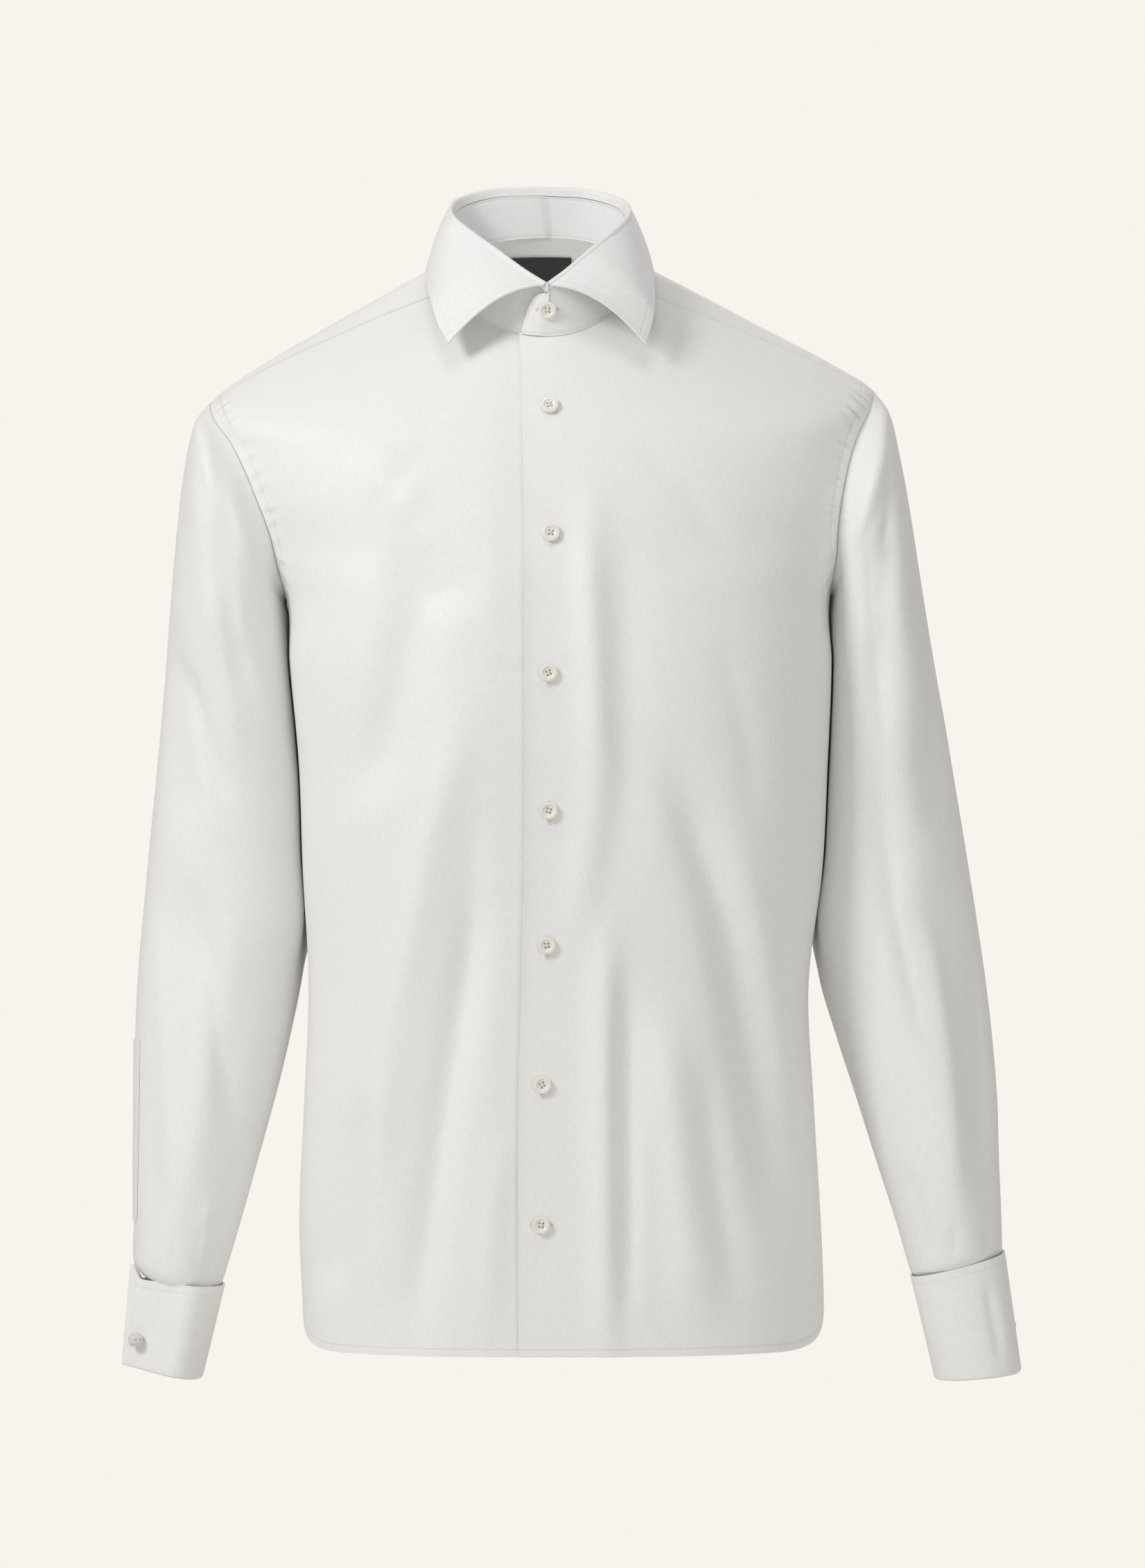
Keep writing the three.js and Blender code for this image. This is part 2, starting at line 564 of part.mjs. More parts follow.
// The sleeve's outer face: a row of points for each ring, from the armhole down
function sleeveGrid(side) {
  const table = side > 0 ? SLEEVE_LEFT : SLEEVE_RIGHT;
  const armhole = ARM_ANGLES.map((angle) => {
    const place = armholePlace(angle);
    return bodyPoint(side, place.share, place.level).point;
  });
  const bottom = armhole[0];
  const tip = bodyPoint(side, 1, ARMHOLE.top).point;
  const away = tip.clone().sub(bottom).cross(vec(0, 1, 0)).normalize();
  away.multiplyScalar(Math.sign(away.x) * side * SEAM_GAP);
  const first = armhole.map((point) => point.add(away));
  const rings = table.map((row) => {
    const ring = named(SLEEVE_COLUMNS, row);
    const centre = vec((ring.innerX + ring.outerX) / 2, ring.midY, (ring.innerZ + ring.outerZ) / 2);
    const reach = vec(ring.innerX - centre.x, 0, ring.innerZ - centre.z);
    return ARM_ANGLES.map((angle) => {
      const plain = centre.clone().addScaledVector(reach, Math.cos(angle));
      plain.y -= ring.halfY * Math.sin(angle);
      const grow = 1 + sleeveFold(plain.z, THREE.MathUtils.radToDeg(angle), side) / ring.halfY;
      return plain.sub(centre).multiplyScalar(grow).add(centre);
    });
  });
  return [first, ...rings];
}

function middleOf(points) {
  return points.reduce((sum, point) => sum.add(point), vec(0, 0, 0)).divideScalar(points.length);
}

// Normals of a tube's grid that point away from its middle
function tubeNormals(grid) {
  const normals = gridNormals(grid, true);
  const facing = Math.sign(normals[1][0].dot(grid[1][0].clone().sub(middleOf(grid[1]))));
  return normals.map((row) => row.map((normal) => normal.multiplyScalar(facing)));
}

function sleeve(side) {
  const outer = sleeveGrid(side);
  const middle = middleOf(outer[0]);
  const inner = offsetGrid(outer, tubeNormals(outer), -CLOTH);
  inner[0] = outer[0].map((point) => {
    const inward = middle.clone().sub(point);
    return point.clone().addScaledVector(inward.normalize(), CLOTH);
  });
  return wall(outer, inner, true);
}

// The strip beside the sleeve's slit, on the sleeve's own points moved out
function placket(side) {
  const grid = sleeveGrid(side);
  const column = side > 0 ? PLACKET.left : PLACKET.right;
  const part = (rows) => rows.slice(PLACKET.firstRow, PLACKET.lastRow + 1)
    .map((row) => row.slice(column, column + 2));
  const [points, normals] = [part(grid), part(tubeNormals(grid))];
  return wall(offsetGrid(points, normals, SEAM_GAP + CLOTH), offsetGrid(points, normals, SEAM_GAP));
}

// Cuffs: an inner layer, a fold at the wrist and a layer turned back over it

function cuffPlan(cuff) {
  const isLeft = cuff.side > 0;
  const points = CUFF_PLAN.map((row) => {
    const plan = named(CUFF_COLUMNS, row);
    return vec(cuff.side * (isLeft ? plan.leftOut : plan.rightOut), isLeft ? plan.leftY : plan.rightY, 0);
  });
  const curve = new THREE.CatmullRomCurve3(points, false, 'centripetal');
  return curve.getSpacedPoints(CUFF_STEPS);
}

function cuffMid(cuff) {
  const plan = cuffPlan(cuff);
  const centre = plan.reduce((sum, point) => sum.add(point), vec(0, 0, 0)).divideScalar(plan.length);
  const half = Math.floor(plan.length / 2);
  const outward = plan.map((point, i) => {
    const ahead = plan[Math.min(i + 1, plan.length - 1)];
    const behind = plan[Math.max(i - 1, 0)];
    return vec(ahead.y - behind.y, -(ahead.x - behind.x), 0).normalize();
  });
  const sign = Math.sign(outward[half].dot(plan[half].clone().sub(centre)));
  const radius = CUFF_LAYER / 2;
  const layer = (i, out, share, drop) => {
    const narrow = 1 - cuff.narrow * share;
    const x = mix(cuff.midX, cuff.lowX, share) + plan[i].x * narrow;
    const place = vec(x, cuff.midY + plan[i].y, 0).addScaledVector(outward[i], sign * out);
    const top = cuff.top[1] + (place.x - cuff.top[0]) * cuff.top[2];
    const bottom = cuff.bottom[1] + (place.x - cuff.bottom[0]) * cuff.bottom[2];
    place.z = mix(top, bottom, share) + drop;
    return place;
  };
  const inner = CLOTH / 2;
  const outer = inner + CUFF_LAYER;
  const rows = [
    (i) => layer(i, inner, 0, -CUFF_INSIDE - SEAM_GAP),
    (i) => layer(i, inner, 0.5, 0),
    (i) => layer(i, inner, 1, radius),
    (i) => layer(i, inner + radius, 1, 0),
    (i) => layer(i, outer, 1, radius),
    (i) => layer(i, outer, 0.5, 0),
    (i) => layer(i, outer, 0, 0),
  ];
  return rows.map((row) => plan.map((_, i) => row(i)));
}

function cuffWall(cuff) {
  const mid = cuffMid(cuff);
  const normals = gridNormals(mid);
  return wall(offsetGrid(mid, normals, CLOTH / 2), offsetGrid(mid, normals, -CLOTH / 2));
}

// Collar

function collarPlace(side, place) {
  const row = along(COLLAR, COLLAR_COLUMNS, place);
  const mid = COLLAR_MID * (1 - place) ** 2;
  const fold = vec(mid + side * row.foldX, row.foldY, row.foldZ);
  const edge = vec(mid + side * row.edgeX, row.edgeY, row.edgeZ);
  const ring = bodyPlain(side, 2 * place, BODY.at(-1)[0]);
  const rise = fold.clone().sub(ring).normalize();
  const out = edge.clone().sub(fold);
  out.addScaledVector(rise, -out.dot(rise)).normalize();
  return { row, fold, edge, ring, rise, out };
}

// Columns round the collar are closer together at the front
function collarSpread(step) {
  const way = step / COLLAR_STEPS;
  return COLLAR_EVEN * way + (1 - COLLAR_EVEN) * way * way;
}

// A column of the leaf: up inside the fold, over it, and out to the free edge
function leafColumn(side, place) {
  const { row, fold, edge, rise, out } = collarPlace(side, place);
  const centre = fold.clone().addScaledVector(rise, -FOLD_RADIUS);
  const column = [centre.clone().addScaledVector(out, -FOLD_RADIUS).addScaledVector(rise, -LEAF_INSIDE)];
  for (const angle of angles(-Math.PI / 2, Math.PI / 2, 4)) {
    column.push(centre.clone()
      .addScaledVector(out, FOLD_RADIUS * Math.sin(angle))
      .addScaledVector(rise, FOLD_RADIUS * Math.cos(angle)));
  }
  const start = column.at(-1);
  const bulge = start.clone().lerp(edge, 0.5).addScaledVector(out, row.out).addScaledVector(rise, row.up);
  const curve = new THREE.QuadraticBezierCurve3(start, bulge, edge);
  for (const t of [0.2, 0.45, 0.72, 1]) column.push(curve.getPoint(t));
  return column;
}

function collarLeaf() {
  const columns = [];
  for (let i = 0; i <= COLLAR_STEPS; i += 1) columns.push(leafColumn(-1, collarSpread(i)));
  for (let i = COLLAR_STEPS - 1; i >= 0; i -= 1) columns.push(leafColumn(1, collarSpread(i)));
  const grid = columns[0].map((_, i) => columns.map((column) => column[i]));
  const normals = gridNormals(grid);
  return wall(offsetGrid(grid, normals, CLOTH / 2), offsetGrid(grid, normals, -CLOTH / 2));
}

// The stand goes round the neck from its under end, on the wearer's right front, to its over end
function collarStops() {
  const stops = [];
  const share = (past) => past / quarter(BODY.at(-1)[0], 1, true).total / 2;
  for (const past of angles(STAND_ENDS.under, 0, 2)) {
    stops.push({ side: 1, place: share(past), past, isUnder: true });
  }
  for (let i = 1; i <= COLLAR_STEPS; i += 1) {
    stops.push({ side: -1, place: collarSpread(i), past: 0, isUnder: true });
  }
  for (let i = COLLAR_STEPS - 1; i >= 1; i -= 1) {
    stops.push({ side: 1, place: collarSpread(i), past: 0, isUnder: false });
  }
  for (const past of angles(0, STAND_ENDS.over, 4)) {
    stops.push({ side: -1, place: share(past), past, isUnder: false });
  }
  return stops;
}

function collarStand() {
  const columns = collarStops().map(({ side, place, past, isUnder }) => {
    const { fold, ring, rise, out } = collarPlace(side, place);
    const full = fold.distanceTo(ring) - FOLD_RADIUS - LEAF_INSIDE - 3 * SEAM_GAP;
    const rounding = Math.sqrt(1 - (past / STAND_ENDS.over) ** 2);
    const tall = past > 0 ? full * mix(STAND_TIP, 1, rounding) - END_DROP : full;
    const outward = vec(ring.x, ring.y, 0).normalize();
    const fromLine = ring.x - COLLAR_MID;
    const back = isUnder ? underlap(side > 0 ? 0 : fromLine) : 0;
    const foot = ring.clone().addScaledVector(outward, back - CLOTH / 2);
    foot.addScaledVector(rise, 2 * SEAM_GAP);
    const lean = out.clone().multiplyScalar(-FOLD_RADIUS).addScaledVector(outward, CLOTH / 2);
    return [0, 0.5, 1].map((t) => foot.clone().addScaledVector(rise, tall * t).addScaledVector(lean, t));
  });
  const grid = [0, 1, 2].map((i) => columns.map((column) => column[i]));
  const normals = gridNormals(grid);
  return wall(offsetGrid(grid, normals, CLOTH / 2), offsetGrid(grid, normals, -CLOTH / 2));
}

// Label, inside the back of the yoke
function label() {
  const cells = [];
  for (let i = 0; i <= LABEL.rows; i += 1) {
    const level = mix(LABEL.low, LABEL.high, i / LABEL.rows);
    const total = quarter(level, 1, false).total;
    cells.push(Array.from({ length: LABEL.columns + 1 }, (_, j) => {
      const across = mix(-LABEL.halfWidth, LABEL.halfWidth, j / LABEL.columns);
      return bodyPoint(across < 0 ? -1 : 1, 2 - Math.abs(across) / total, level, -CLOTH - LABEL.inside);
    }));
  }
  return panel(cells, [], LABEL.thickness);
}

// Buttons and knots

const BUTTON_PROFILE = [[0, 0], [5.5, 0], [BUTTON_RADIUS, 1.4], [5.2, 2.9], [4.0, 2.5], [3.1, 2.0], [0, 2.0]];

function button() {
  const profile = BUTTON_PROFILE.map(([radius, height]) => new THREE.Vector2(radius, height));
  return new THREE.LatheGeometry(profile, 14);
}

function onto(mesh, point, normal) {
  mesh.position.copy(point).addScaledVector(normal, BUTTON_LIFT);
  mesh.quaternion.setFromUnitVectors(vec(0, 1, 0), normal);
  return mesh;
}

// The place on the top front at a given x and height, found by stepping towards it
function frontPlace(x, z) {
  let share = 0.02;
  let level = z;
  for (let i = 0; i < 30; i += 1) {
    const { point } = bodyPoint(1, share, level);
    share += (x - point.x) / 200;
    level += z - point.z;
  }
  return bodyPoint(1, share, level);
}

function material(colour, roughness) {
  return new THREE.MeshStandardMaterial({ color: colour, roughness, metalness: 0, side: THREE.DoubleSide });
}

const shirt = new THREE.Group();

function add(name, geometry, colour = CLOTH_COLOUR, roughness = 0.85) {
  const mesh = new THREE.Mesh(geometry, material(colour, roughness));
  mesh.name = name;
  shirt.add(mesh);
  return mesh;
}

add('front_left', frontPanel(1));
add('front_right', frontPanel(-1));
add('back', backPanel());
add('yoke', yokePanel());
add('sleeve_left', sleeve(1));
add('sleeve_right', sleeve(-1));
add('placket_left', placket(1));
add('placket_right', placket(-1));
add('cuff_left', cuffWall(CUFFS.left));
add('cuff_right', cuffWall(CUFFS.right));
add('collar_stand', collarStand());
add('collar_leaf', collarLeaf());
add('label', label(), '#0e0e10', 0.8);

BUTTONS.forEach(([x, z], i) => {
  const { point, normal } = frontPlace(x, z);
  onto(add(`button_${i + 1}`, button(), BUTTON_COLOUR, 0.25), point, normal);
});

// The collar button, on the front of the stand
function collarButton() {
  const { ring, rise } = collarPlace(1, 0);
  const point = ring.clone().addScaledVector(rise, (COLLAR_BUTTON_HEIGHT - ring.z) / rise.z);
  return onto(add('button_collar', button(), BUTTON_COLOUR, 0.25), point, vec(0, -rise.z, rise.y));
}
collarButton();

// Knots of a silk link, one on each outer face of a cuff's pressed ends
function knotPlaces(cuff) {
  const grid = cuffMid(cuff);
  const normals = gridNormals(grid);
  const [bottom, turned] = [grid[4], grid[5]];
  const last = turned.length - 1;
  return [LINK_COLUMN, last - LINK_COLUMN].map((i) => {
    const point = turned[i].clone().lerp(bottom[i], LINK_DROP);
    const outward = normals[5][i].clone().setZ(0).normalize();
    outward.multiplyScalar(Math.sign(outward.dot(point.clone().sub(turned[last - i]))) || 1);
    return point.addScaledVector(outward, CLOTH / 2 + SEAM_GAP + KNOT_RADIUS);
  });
}

for (const [name, cuff] of Object.entries(CUFFS)) {
  knotPlaces(cuff).forEach((point, i) => {
    const knot = new THREE.IcosahedronGeometry(KNOT_RADIUS, 1);
    add(`link_${name}_${i === 0 ? 'a' : 'b'}`, knot, '#d9d5d3', 0.7).position.copy(point);
  });
}

export default shirt;
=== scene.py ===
# %% [markdown]
# # A long sleeve dress shirt in white cotton
# The shirt stands as if worn, with nobody in it. Each piece of cloth that a maker would cut is one object.
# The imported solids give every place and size; this script gives the cloth its folds, seams and finish.

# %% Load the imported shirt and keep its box
import math

import bpy
import numpy as np
from mathutils import Matrix, Vector


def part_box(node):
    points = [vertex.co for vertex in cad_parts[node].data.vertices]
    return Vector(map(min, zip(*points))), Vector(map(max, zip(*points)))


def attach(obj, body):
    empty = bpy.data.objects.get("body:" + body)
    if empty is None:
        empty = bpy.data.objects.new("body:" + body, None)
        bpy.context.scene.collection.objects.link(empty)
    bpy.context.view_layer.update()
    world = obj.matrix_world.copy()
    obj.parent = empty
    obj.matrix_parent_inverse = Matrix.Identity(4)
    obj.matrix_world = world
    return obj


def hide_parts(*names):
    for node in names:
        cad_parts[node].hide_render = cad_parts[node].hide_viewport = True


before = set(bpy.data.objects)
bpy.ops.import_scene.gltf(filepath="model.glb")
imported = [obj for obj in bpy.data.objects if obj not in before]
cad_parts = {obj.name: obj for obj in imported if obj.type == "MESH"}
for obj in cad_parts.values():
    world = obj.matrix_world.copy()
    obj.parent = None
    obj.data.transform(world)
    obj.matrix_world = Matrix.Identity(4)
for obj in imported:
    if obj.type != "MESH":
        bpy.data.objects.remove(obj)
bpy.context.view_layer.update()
bpy.ops.object.select_all(action="DESELECT")
MM = 0.001

# %% [markdown]
# ## The sizes of the shirt
# Cloth follows the body it hangs on, so the pieces are points of one body surface, two sleeves and a collar.
# The tables are in millimetres. The body's are the ones that the solids were made from, and those of the
# sleeves, cuffs and folds are set a little closer to the photograph, by up to 8 mm.
# A finer grid of points between the same rows gives the smooth surface that folds can be put on.

# %% The body, a row for each level from the hem to the neck ring
BODY = [
    [-760, 4.0, -119, -159, 195, -6, -760, -760, 120, -760, 2.5, 2.4],
    [-700, 4.0, -118.5, -161, 196, -6, -700, -700, 119, -700, 2.5, 2.4],
    [-640, 4.2, -118, -163.3, 193.8, -6, -640, -640, 117, -640, 2.5, 2.4],
    [-560, 4.6, -117, -160, 189, -6, -560, -560, 108, -560, 2.5, 2.4],
    [-480, 7.0, -117, -157, 185.5, -6, -480, -480, 100, -480, 2.5, 2.4],
    [-400, 9.0, -120, -161, 195, -6, -400, -400, 106, -400, 2.5, 2.4],
    [-330, 9.5, -124, -163.5, 198.5, -6, -330, -330, 120, -330, 2.5, 2.4],
    [-260, 9.5, -125, -170, 201.5, -4, -260, -260, 127, -260, 2.5, 2.4],
    [-215, 9.5, -122, -173, 201, 4, -215, -212, 127, -206, 2.5, 2.4],
    [-190, 9.5, -119, -192, 217, 8, -178, -172, 124, -174, 2.12, 2.1],
    [-160, 9.3, -113, -213, 228, 12, -135, -128, 118, -137, 2.05, 2.05],
    [-130, 9.0, -104, -224, 232, 15, -100, -91, 109, -96, 2.05, 2.05],
    [-112, 8.8, -97, -226, 231, 15, -80, -71.5, 102, -68, 2.0, 2.0],
    [-95, 8.5, -89, -190, 200, 16, -54, -52, 93, -36, 2.0, 2.0],
    [-78, 8.2, -80, -150, 157, 18, -31.5, -30.5, 83, -9, 2.0, 2.0],
    [-60, 7.6, -70, -106, 111, 20, -7, -7, 71, 14, 2.0, 2.0],
    [-38.4, 6.5, -56, -62, 62, 23, 15.8, 15.8, 56, 38.4, 2.0, 2.0],
]
LOW_LEVELS = [-650, -620, -590, -560, -528, -496, -464, -432, -400, -368, -336, -304, -272, -243, -215]
NECK_LEVEL = BODY[-1][0]
FRONT_EDGE = 18
UNDERLAP = 2.0
HEM_FRONT, HEM_BACK, HEM_RISE, HEM_CURVE, HEM_POWER = -725, -741, 52, 0.36, 2.4
ARMHOLE_BOTTOM, ARMHOLE_TOP = -215, -112
YOKE_FRONT_ANGLE, YOKE_BACK_ANGLE = 0.965 * math.pi, 1.21 * math.pi
YOKE_NECK, YOKE_NECK_BACK, YOKE_BOW, YOKE_BACK_LEVEL = 0.75, 1.35, 0.2, -115
print("body rows:", len(BODY))

# %% [markdown]
# ## Folds
# A worn shirt hangs from the shoulders and chest, and its slack gathers in long soft troughs and ridges.
# They could come from a cloth simulation, but each fold of this shirt has its own place,
# so they are listed one by one.
# Each row is one fold: the line it runs along seen from the front, how wide it is, and how high or deep.

# %% The large folds that the solids have too
BODY_FOLDS = [
    [1, -74, -190, -88, -270, -113, -352, 20, -5.6],
    [1, -52, -300, -76, -421, -120, -620, 17, 5.6],
    [1, -40, -430, -64, -564, -80, -705, 13, -5.6],
    [1, -118, -560, -130, -620, -141, -685, 12, -4.0],
    [1, 36, -150, 43, -330, 28, -440, 12, 3.8],
    [1, 46, -440, 45, -560, 47, -722, 11, 5.6],
    [1, 92, -330, 128, -430, 166, -640, 17, -7.2],
    [1, 88, -500, 98, -600, 112, -700, 15, 4.0],
    [-1, -70, -150, -64, -300, -52, -470, 22, -6.4],
    [-1, 84, -160, 76, -310, 60, -480, 22, -6.4],
    [-1, -96, -470, -90, -560, -104, -700, 18, 5.6],
    [-1, 20, -330, 16, -480, 30, -640, 24, 4.8],
    [-1, 122, -440, 116, -560, 132, -690, 16, 4.8],
]
SLEEVE_FOLDS = [
    [-120, 140, -250, 96, 14, 4.2],
    [-150, 120, -300, 70, 14, -3.5],
    [-230, 150, -380, 118, 18, -4.2],
    [-400, 118, -640, 128, 20, -4.2],
    [-420, 84, -640, 92, 16, 3.5],
    [-180, 245, -330, 280, 18, -4.2],
    [-380, 290, -620, 262, 20, -4.2],
    [-420, 235, -630, 228, 16, 3.5],
]
LEFT_FOLD_TURN = 5

# %% The finer creases, placed one by one
# Columns: piece, face, the line's x and z three times, width, depth, share that is sharp
CREASES = [
    ("body", 1, 58, -450, 58, -570, 60, -720, 7, -1.6, 0.2),
    ("body", 1, -118, -590, -128, -640, -142, -688, 3.5, -1.0, 0.7),
    ("body", 1, -96, -150, -84, -205, -60, -240, 14, -1.0, 0.0),
    ("body", 1, -30, -175, -18, -182, -2, -180, 3.5, -0.5, 0.3),
    ("body", 1, -34, -262, -20, -268, -2, -268, 3.5, -0.6, 0.3),
    ("body", 1, 24, -176, 36, -180, 52, -190, 4, -0.5, 0.3),
    ("body", 1, 24, -270, 36, -276, 54, -290, 4, -0.6, 0.3),
    ("body", 1, 70, -540, 72, -620, 70, -722, 6, 1.4, 0.2),
    ("body", 1, -96, -400, -118, -500, -132, -600, 8, -1.2, 0.3),
    ("body", 1, 120, -230, 138, -300, 150, -380, 10, -1.6, 0.2),
    ("body", 1, 60, -110, 96, -140, 128, -190, 9, -1.2, 0.2),
    ("body", 1, -58, -108, -88, -134, -116, -170, 9, -1.0, 0.2),
    ("body", 1, -80, -205, -96, -290, -118, -360, 15, -2.0, 0.0),
    ("body", 1, -60, -300, -84, -430, -124, -600, 11, 2.6, 0.2),
    ("body", 1, -38, -340, -48, -470, -84, -715, 10, -3.2, 0.2),
    ("body", 1, -96, -500, -104, -600, -112, -715, 12, 2.6, 0.2),
    ("body", 1, -122, -560, -134, -630, -146, -692, 9, -2.6, 0.3),
    ("body", 1, -20, -560, -30, -640, -34, -722, 9, 2.0, 0.2),
    ("body", 1, 30, -150, 38, -280, 40, -356, 9, 2.8, 0.2),
    ("body", 1, 56, -170, 62, -300, 56, -420, 16, -3.0, 0.1),
    ("body", 1, 45, -420, 45, -560, 47, -722, 7, 1.2, 0.3),
    ("body", 1, 60, -440, 62, -560, 64, -722, 11, -3.0, 0.1),
    ("body", 1, 94, -335, 128, -440, 168, -640, 13, -3.4, 0.1),
    ("body", 1, 118, -350, 152, -450, 182, -600, 12, 2.6, 0.1),
    ("body", 1, 80, -480, 92, -600, 104, -715, 11, 2.6, 0.2),
    ("body", 1, 110, -520, 122, -620, 138, -705, 10, -2.4, 0.2),
    ("body", 1, -120, -110, -100, -140, -70, -160, 18, 2.6, 0.0),
    ("body", 1, -110, -190, -70, -214, -30, -206, 15, -2.6, 0.0),
    ("body", -1, -130, -190, -96, -215, -60, -222, 11, -1.6, 0.3),
    ("body", -1, 130, -186, 98, -212, 62, -220, 11, -1.6, 0.3),
    ("body", -1, -10, -470, -24, -580, -20, -730, 7, 1.5, 0.3),
    ("body", -1, 70, -500, 78, -600, 74, -730, 6, -1.5, 0.3),
    ("body", -1, -60, -420, 10, -436, 80, -424, 13, -1.8, 0.1),
    ("sleeve_right", 1, -226, -92, -226, -112, -214, -185, 4, 2.0, 0.6),
    ("sleeve_right", 1, -217, -105, -214, -130, -203, -190, 5, -1.8, 0.4),
    ("sleeve_right", 1, -205, -180, -200, -240, -166, -340, 5, 1.6, 0.5),
    ("sleeve_right", 1, -248, -245, -227, -310, -212, -356, 6, -1.6, 0.4),
    ("sleeve_right", 1, -236, -400, -220, -500, -196, -615, 9, -2.0, 0.3),
    ("sleeve_right", 1, -258, -420, -252, -520, -246, -640, 5, 1.2, 0.5),
    ("sleeve_right", 1, -228, -640, -230, -655, -232, -676, 4, -1.2, 0.5),
    ("sleeve_right", 1, -246, -640, -246, -655, -246, -672, 4, -1.0, 0.5),
    ("sleeve_left", 1, 241, -118, 236, -164, 234, -190, 3, -1.2, 0.7),
    ("sleeve_left", 1, 296, -432, 304, -512, 308, -604, 4, -1.4, 0.6),
    ("sleeve_left", 1, 222, -300, 240, -420, 268, -540, 8, -1.8, 0.3),
    ("sleeve_left", 1, 262, -420, 276, -520, 284, -620, 7, 1.4, 0.3),
    ("sleeve_left", 1, 305, -640, 306, -652, 308, -664, 3.5, -1.4, 0.6),
    ("sleeve_left", 1, 284, -636, 283, -652, 282, -666, 4, -1.0, 0.5),
    ("sleeve_right", 1, -226, -100, -222, -180, -200, -345, 9, 3.0, 0.2),
    ("sleeve_right", 1, -243, -250, -222, -320, -205, -370, 9, -3.2, 0.2),
    ("sleeve_right", 1, -236, -400, -216, -510, -196, -622, 13, -3.6, 0.1),
    ("sleeve_right", 1, -262, -420, -254, -530, -250, -650, 9, 2.4, 0.2),
    ("sleeve_left", 1, 240, -110, 246, -200, 262, -330, 10, 3.0, 0.2),
    ("sleeve_left", 1, 222, -140, 226, -230, 240, -360, 9, -3.0, 0.2),
    ("sleeve_left", 1, 224, -300, 244, -430, 270, -560, 12, -3.4, 0.1),
    ("sleeve_left", 1, 292, -430, 300, -520, 306, -620, 8, -2.6, 0.4),
    ("sleeve_left", 1, 262, -420, 280, -530, 290, -640, 10, 2.6, 0.2),
    ("sleeve_left", 1, 250, -600, 262, -640, 270, -672, 6, -2.0, 0.3),
    ("sleeve_right", 1, -224, -620, -226, -650, -230, -676, 6, 2.0, 0.3),
    ("cuff_left", 1, 303, -676, 308, -700, 316, -742, 3.5, -1.8, 0.6),
    ("cuff_left", 1, 309, -672, 316, -700, 322, -742, 3.0, 0.8, 0.3),
    ("cuff_right", 1, -226, -684, -222, -712, -234, -742, 6, -1.2, 0.4),
    ("cuff_right", 1, -244, -686, -244, -712, -240, -742, 9, 0.8, 0.2),
    ("sleeve_right", -1, -240, -150, -220, -250, -190, -330, 8, -1.8, 0.3),
    ("sleeve_right", -1, -250, -360, -236, -470, -228, -600, 8, -1.8, 0.3),
    ("sleeve_left", -1, 250, -150, 232, -240, 216, -320, 8, -1.8, 0.3),
    ("sleeve_left", -1, 280, -380, 276, -480, 286, -610, 8, -1.8, 0.3),
]
print("hand-placed creases:", len(CREASES))

# %% [markdown]
# ## Reading the tables
# Between two rows a smooth curve is followed, so a few rows are enough for a whole body.
# numpy works on all the points of a piece at once, which keeps the script quick.


# %% Small helpers for shapes
def smooth(t):
    t = np.clip(t, 0, 1)
    return t * t * (3 - 2 * t)


def mix(a, b, t):
    return a + (b - a) * t


def unit(v):
    return v / np.maximum(np.linalg.norm(v, axis=-1, keepdims=True), 1e-9)


def table_at(rows, place):
    """The columns of a table at any places, on smooth curves through its rows."""
    rows, place = np.array(rows, float), np.atleast_1d(np.asarray(place, float))
    i = np.clip(np.searchsorted(rows[:, 0], place, side="right") - 1, 0, len(rows) - 2)
    a, b = rows[i], rows[i + 1]
    before, after = rows[np.maximum(i - 1, 0)], rows[np.minimum(i + 2, len(rows) - 1)]
    span = b[:, :1] - a[:, :1]
    t = np.clip((place[:, None] - a[:, :1]) / span, 0, 1)
    slope_a = (b - before) / (b[:, :1] - before[:, :1]) * span
    slope_b = (after - a) / (after[:, :1] - a[:, :1]) * span
    bend_a = (t**3 - 2 * t**2 + t) * slope_a + (t**3 - t**2) * slope_b
    return (a + (3 * t**2 - 2 * t**3) * (b - a) + bend_a).T


def steps_of(length, spacing=3.0):
    return max(2, int(round(length / spacing)))


# %% The plain body surface. share is 0 at the front middle, 1 at the side and 2 at the back middle
RING_STEPS = 60


def body_plain(side, share, level):
    side, share, level = (np.array(v, float) for v in np.broadcast_arrays(side, share, level))
    over = (share < 0) | (share > 2)
    side = np.where(over, -side, side)
    share = np.where(share < 0, -share, np.where(share > 2, 4 - share, share))
    row = table_at(BODY, level)
    _, mid, front_y, left_x, right_x, side_y, left_z, right_z, back_y, back_z, front_n, back_n = row
    front = share <= 1
    side_z = np.where(side > 0, right_z, left_z)
    across = np.where(side > 0, right_x, left_x) - mid
    deep_y = np.where(front, front_y, back_y) - side_y
    deep_z = np.where(front, level, back_z) - side_z
    power = 2 / np.where(front, front_n, back_n)
    angle = np.linspace(0, math.pi / 2, RING_STEPS + 1)
    out, deep = np.sin(angle) ** power[:, None], np.abs(np.cos(angle)) ** power[:, None]
    flat = np.diff(across[:, None] * out), np.diff(deep_y[:, None] * deep), np.diff(deep_z[:, None] * deep)
    length = np.cumsum(np.sqrt(flat[0] ** 2 + flat[1] ** 2 + flat[2] ** 2), axis=1)
    length = np.hstack([np.zeros((len(length), 1)), length])
    goal = length[:, -1] * np.where(front, share, 2 - share)
    k = np.clip((length <= goal[:, None]).sum(1) - 1, 0, RING_STEPS - 1)
    rows = np.arange(len(k))
    part = (goal - length[rows, k]) / (length[rows, k + 1] - length[rows, k])
    at = (k + part) * (math.pi / 2) / RING_STEPS
    out, deep = np.sin(at) ** power, np.abs(np.cos(at)) ** power
    return np.stack([mid + across * out, side_y + deep_y * deep, side_z + deep_z * deep], axis=1)


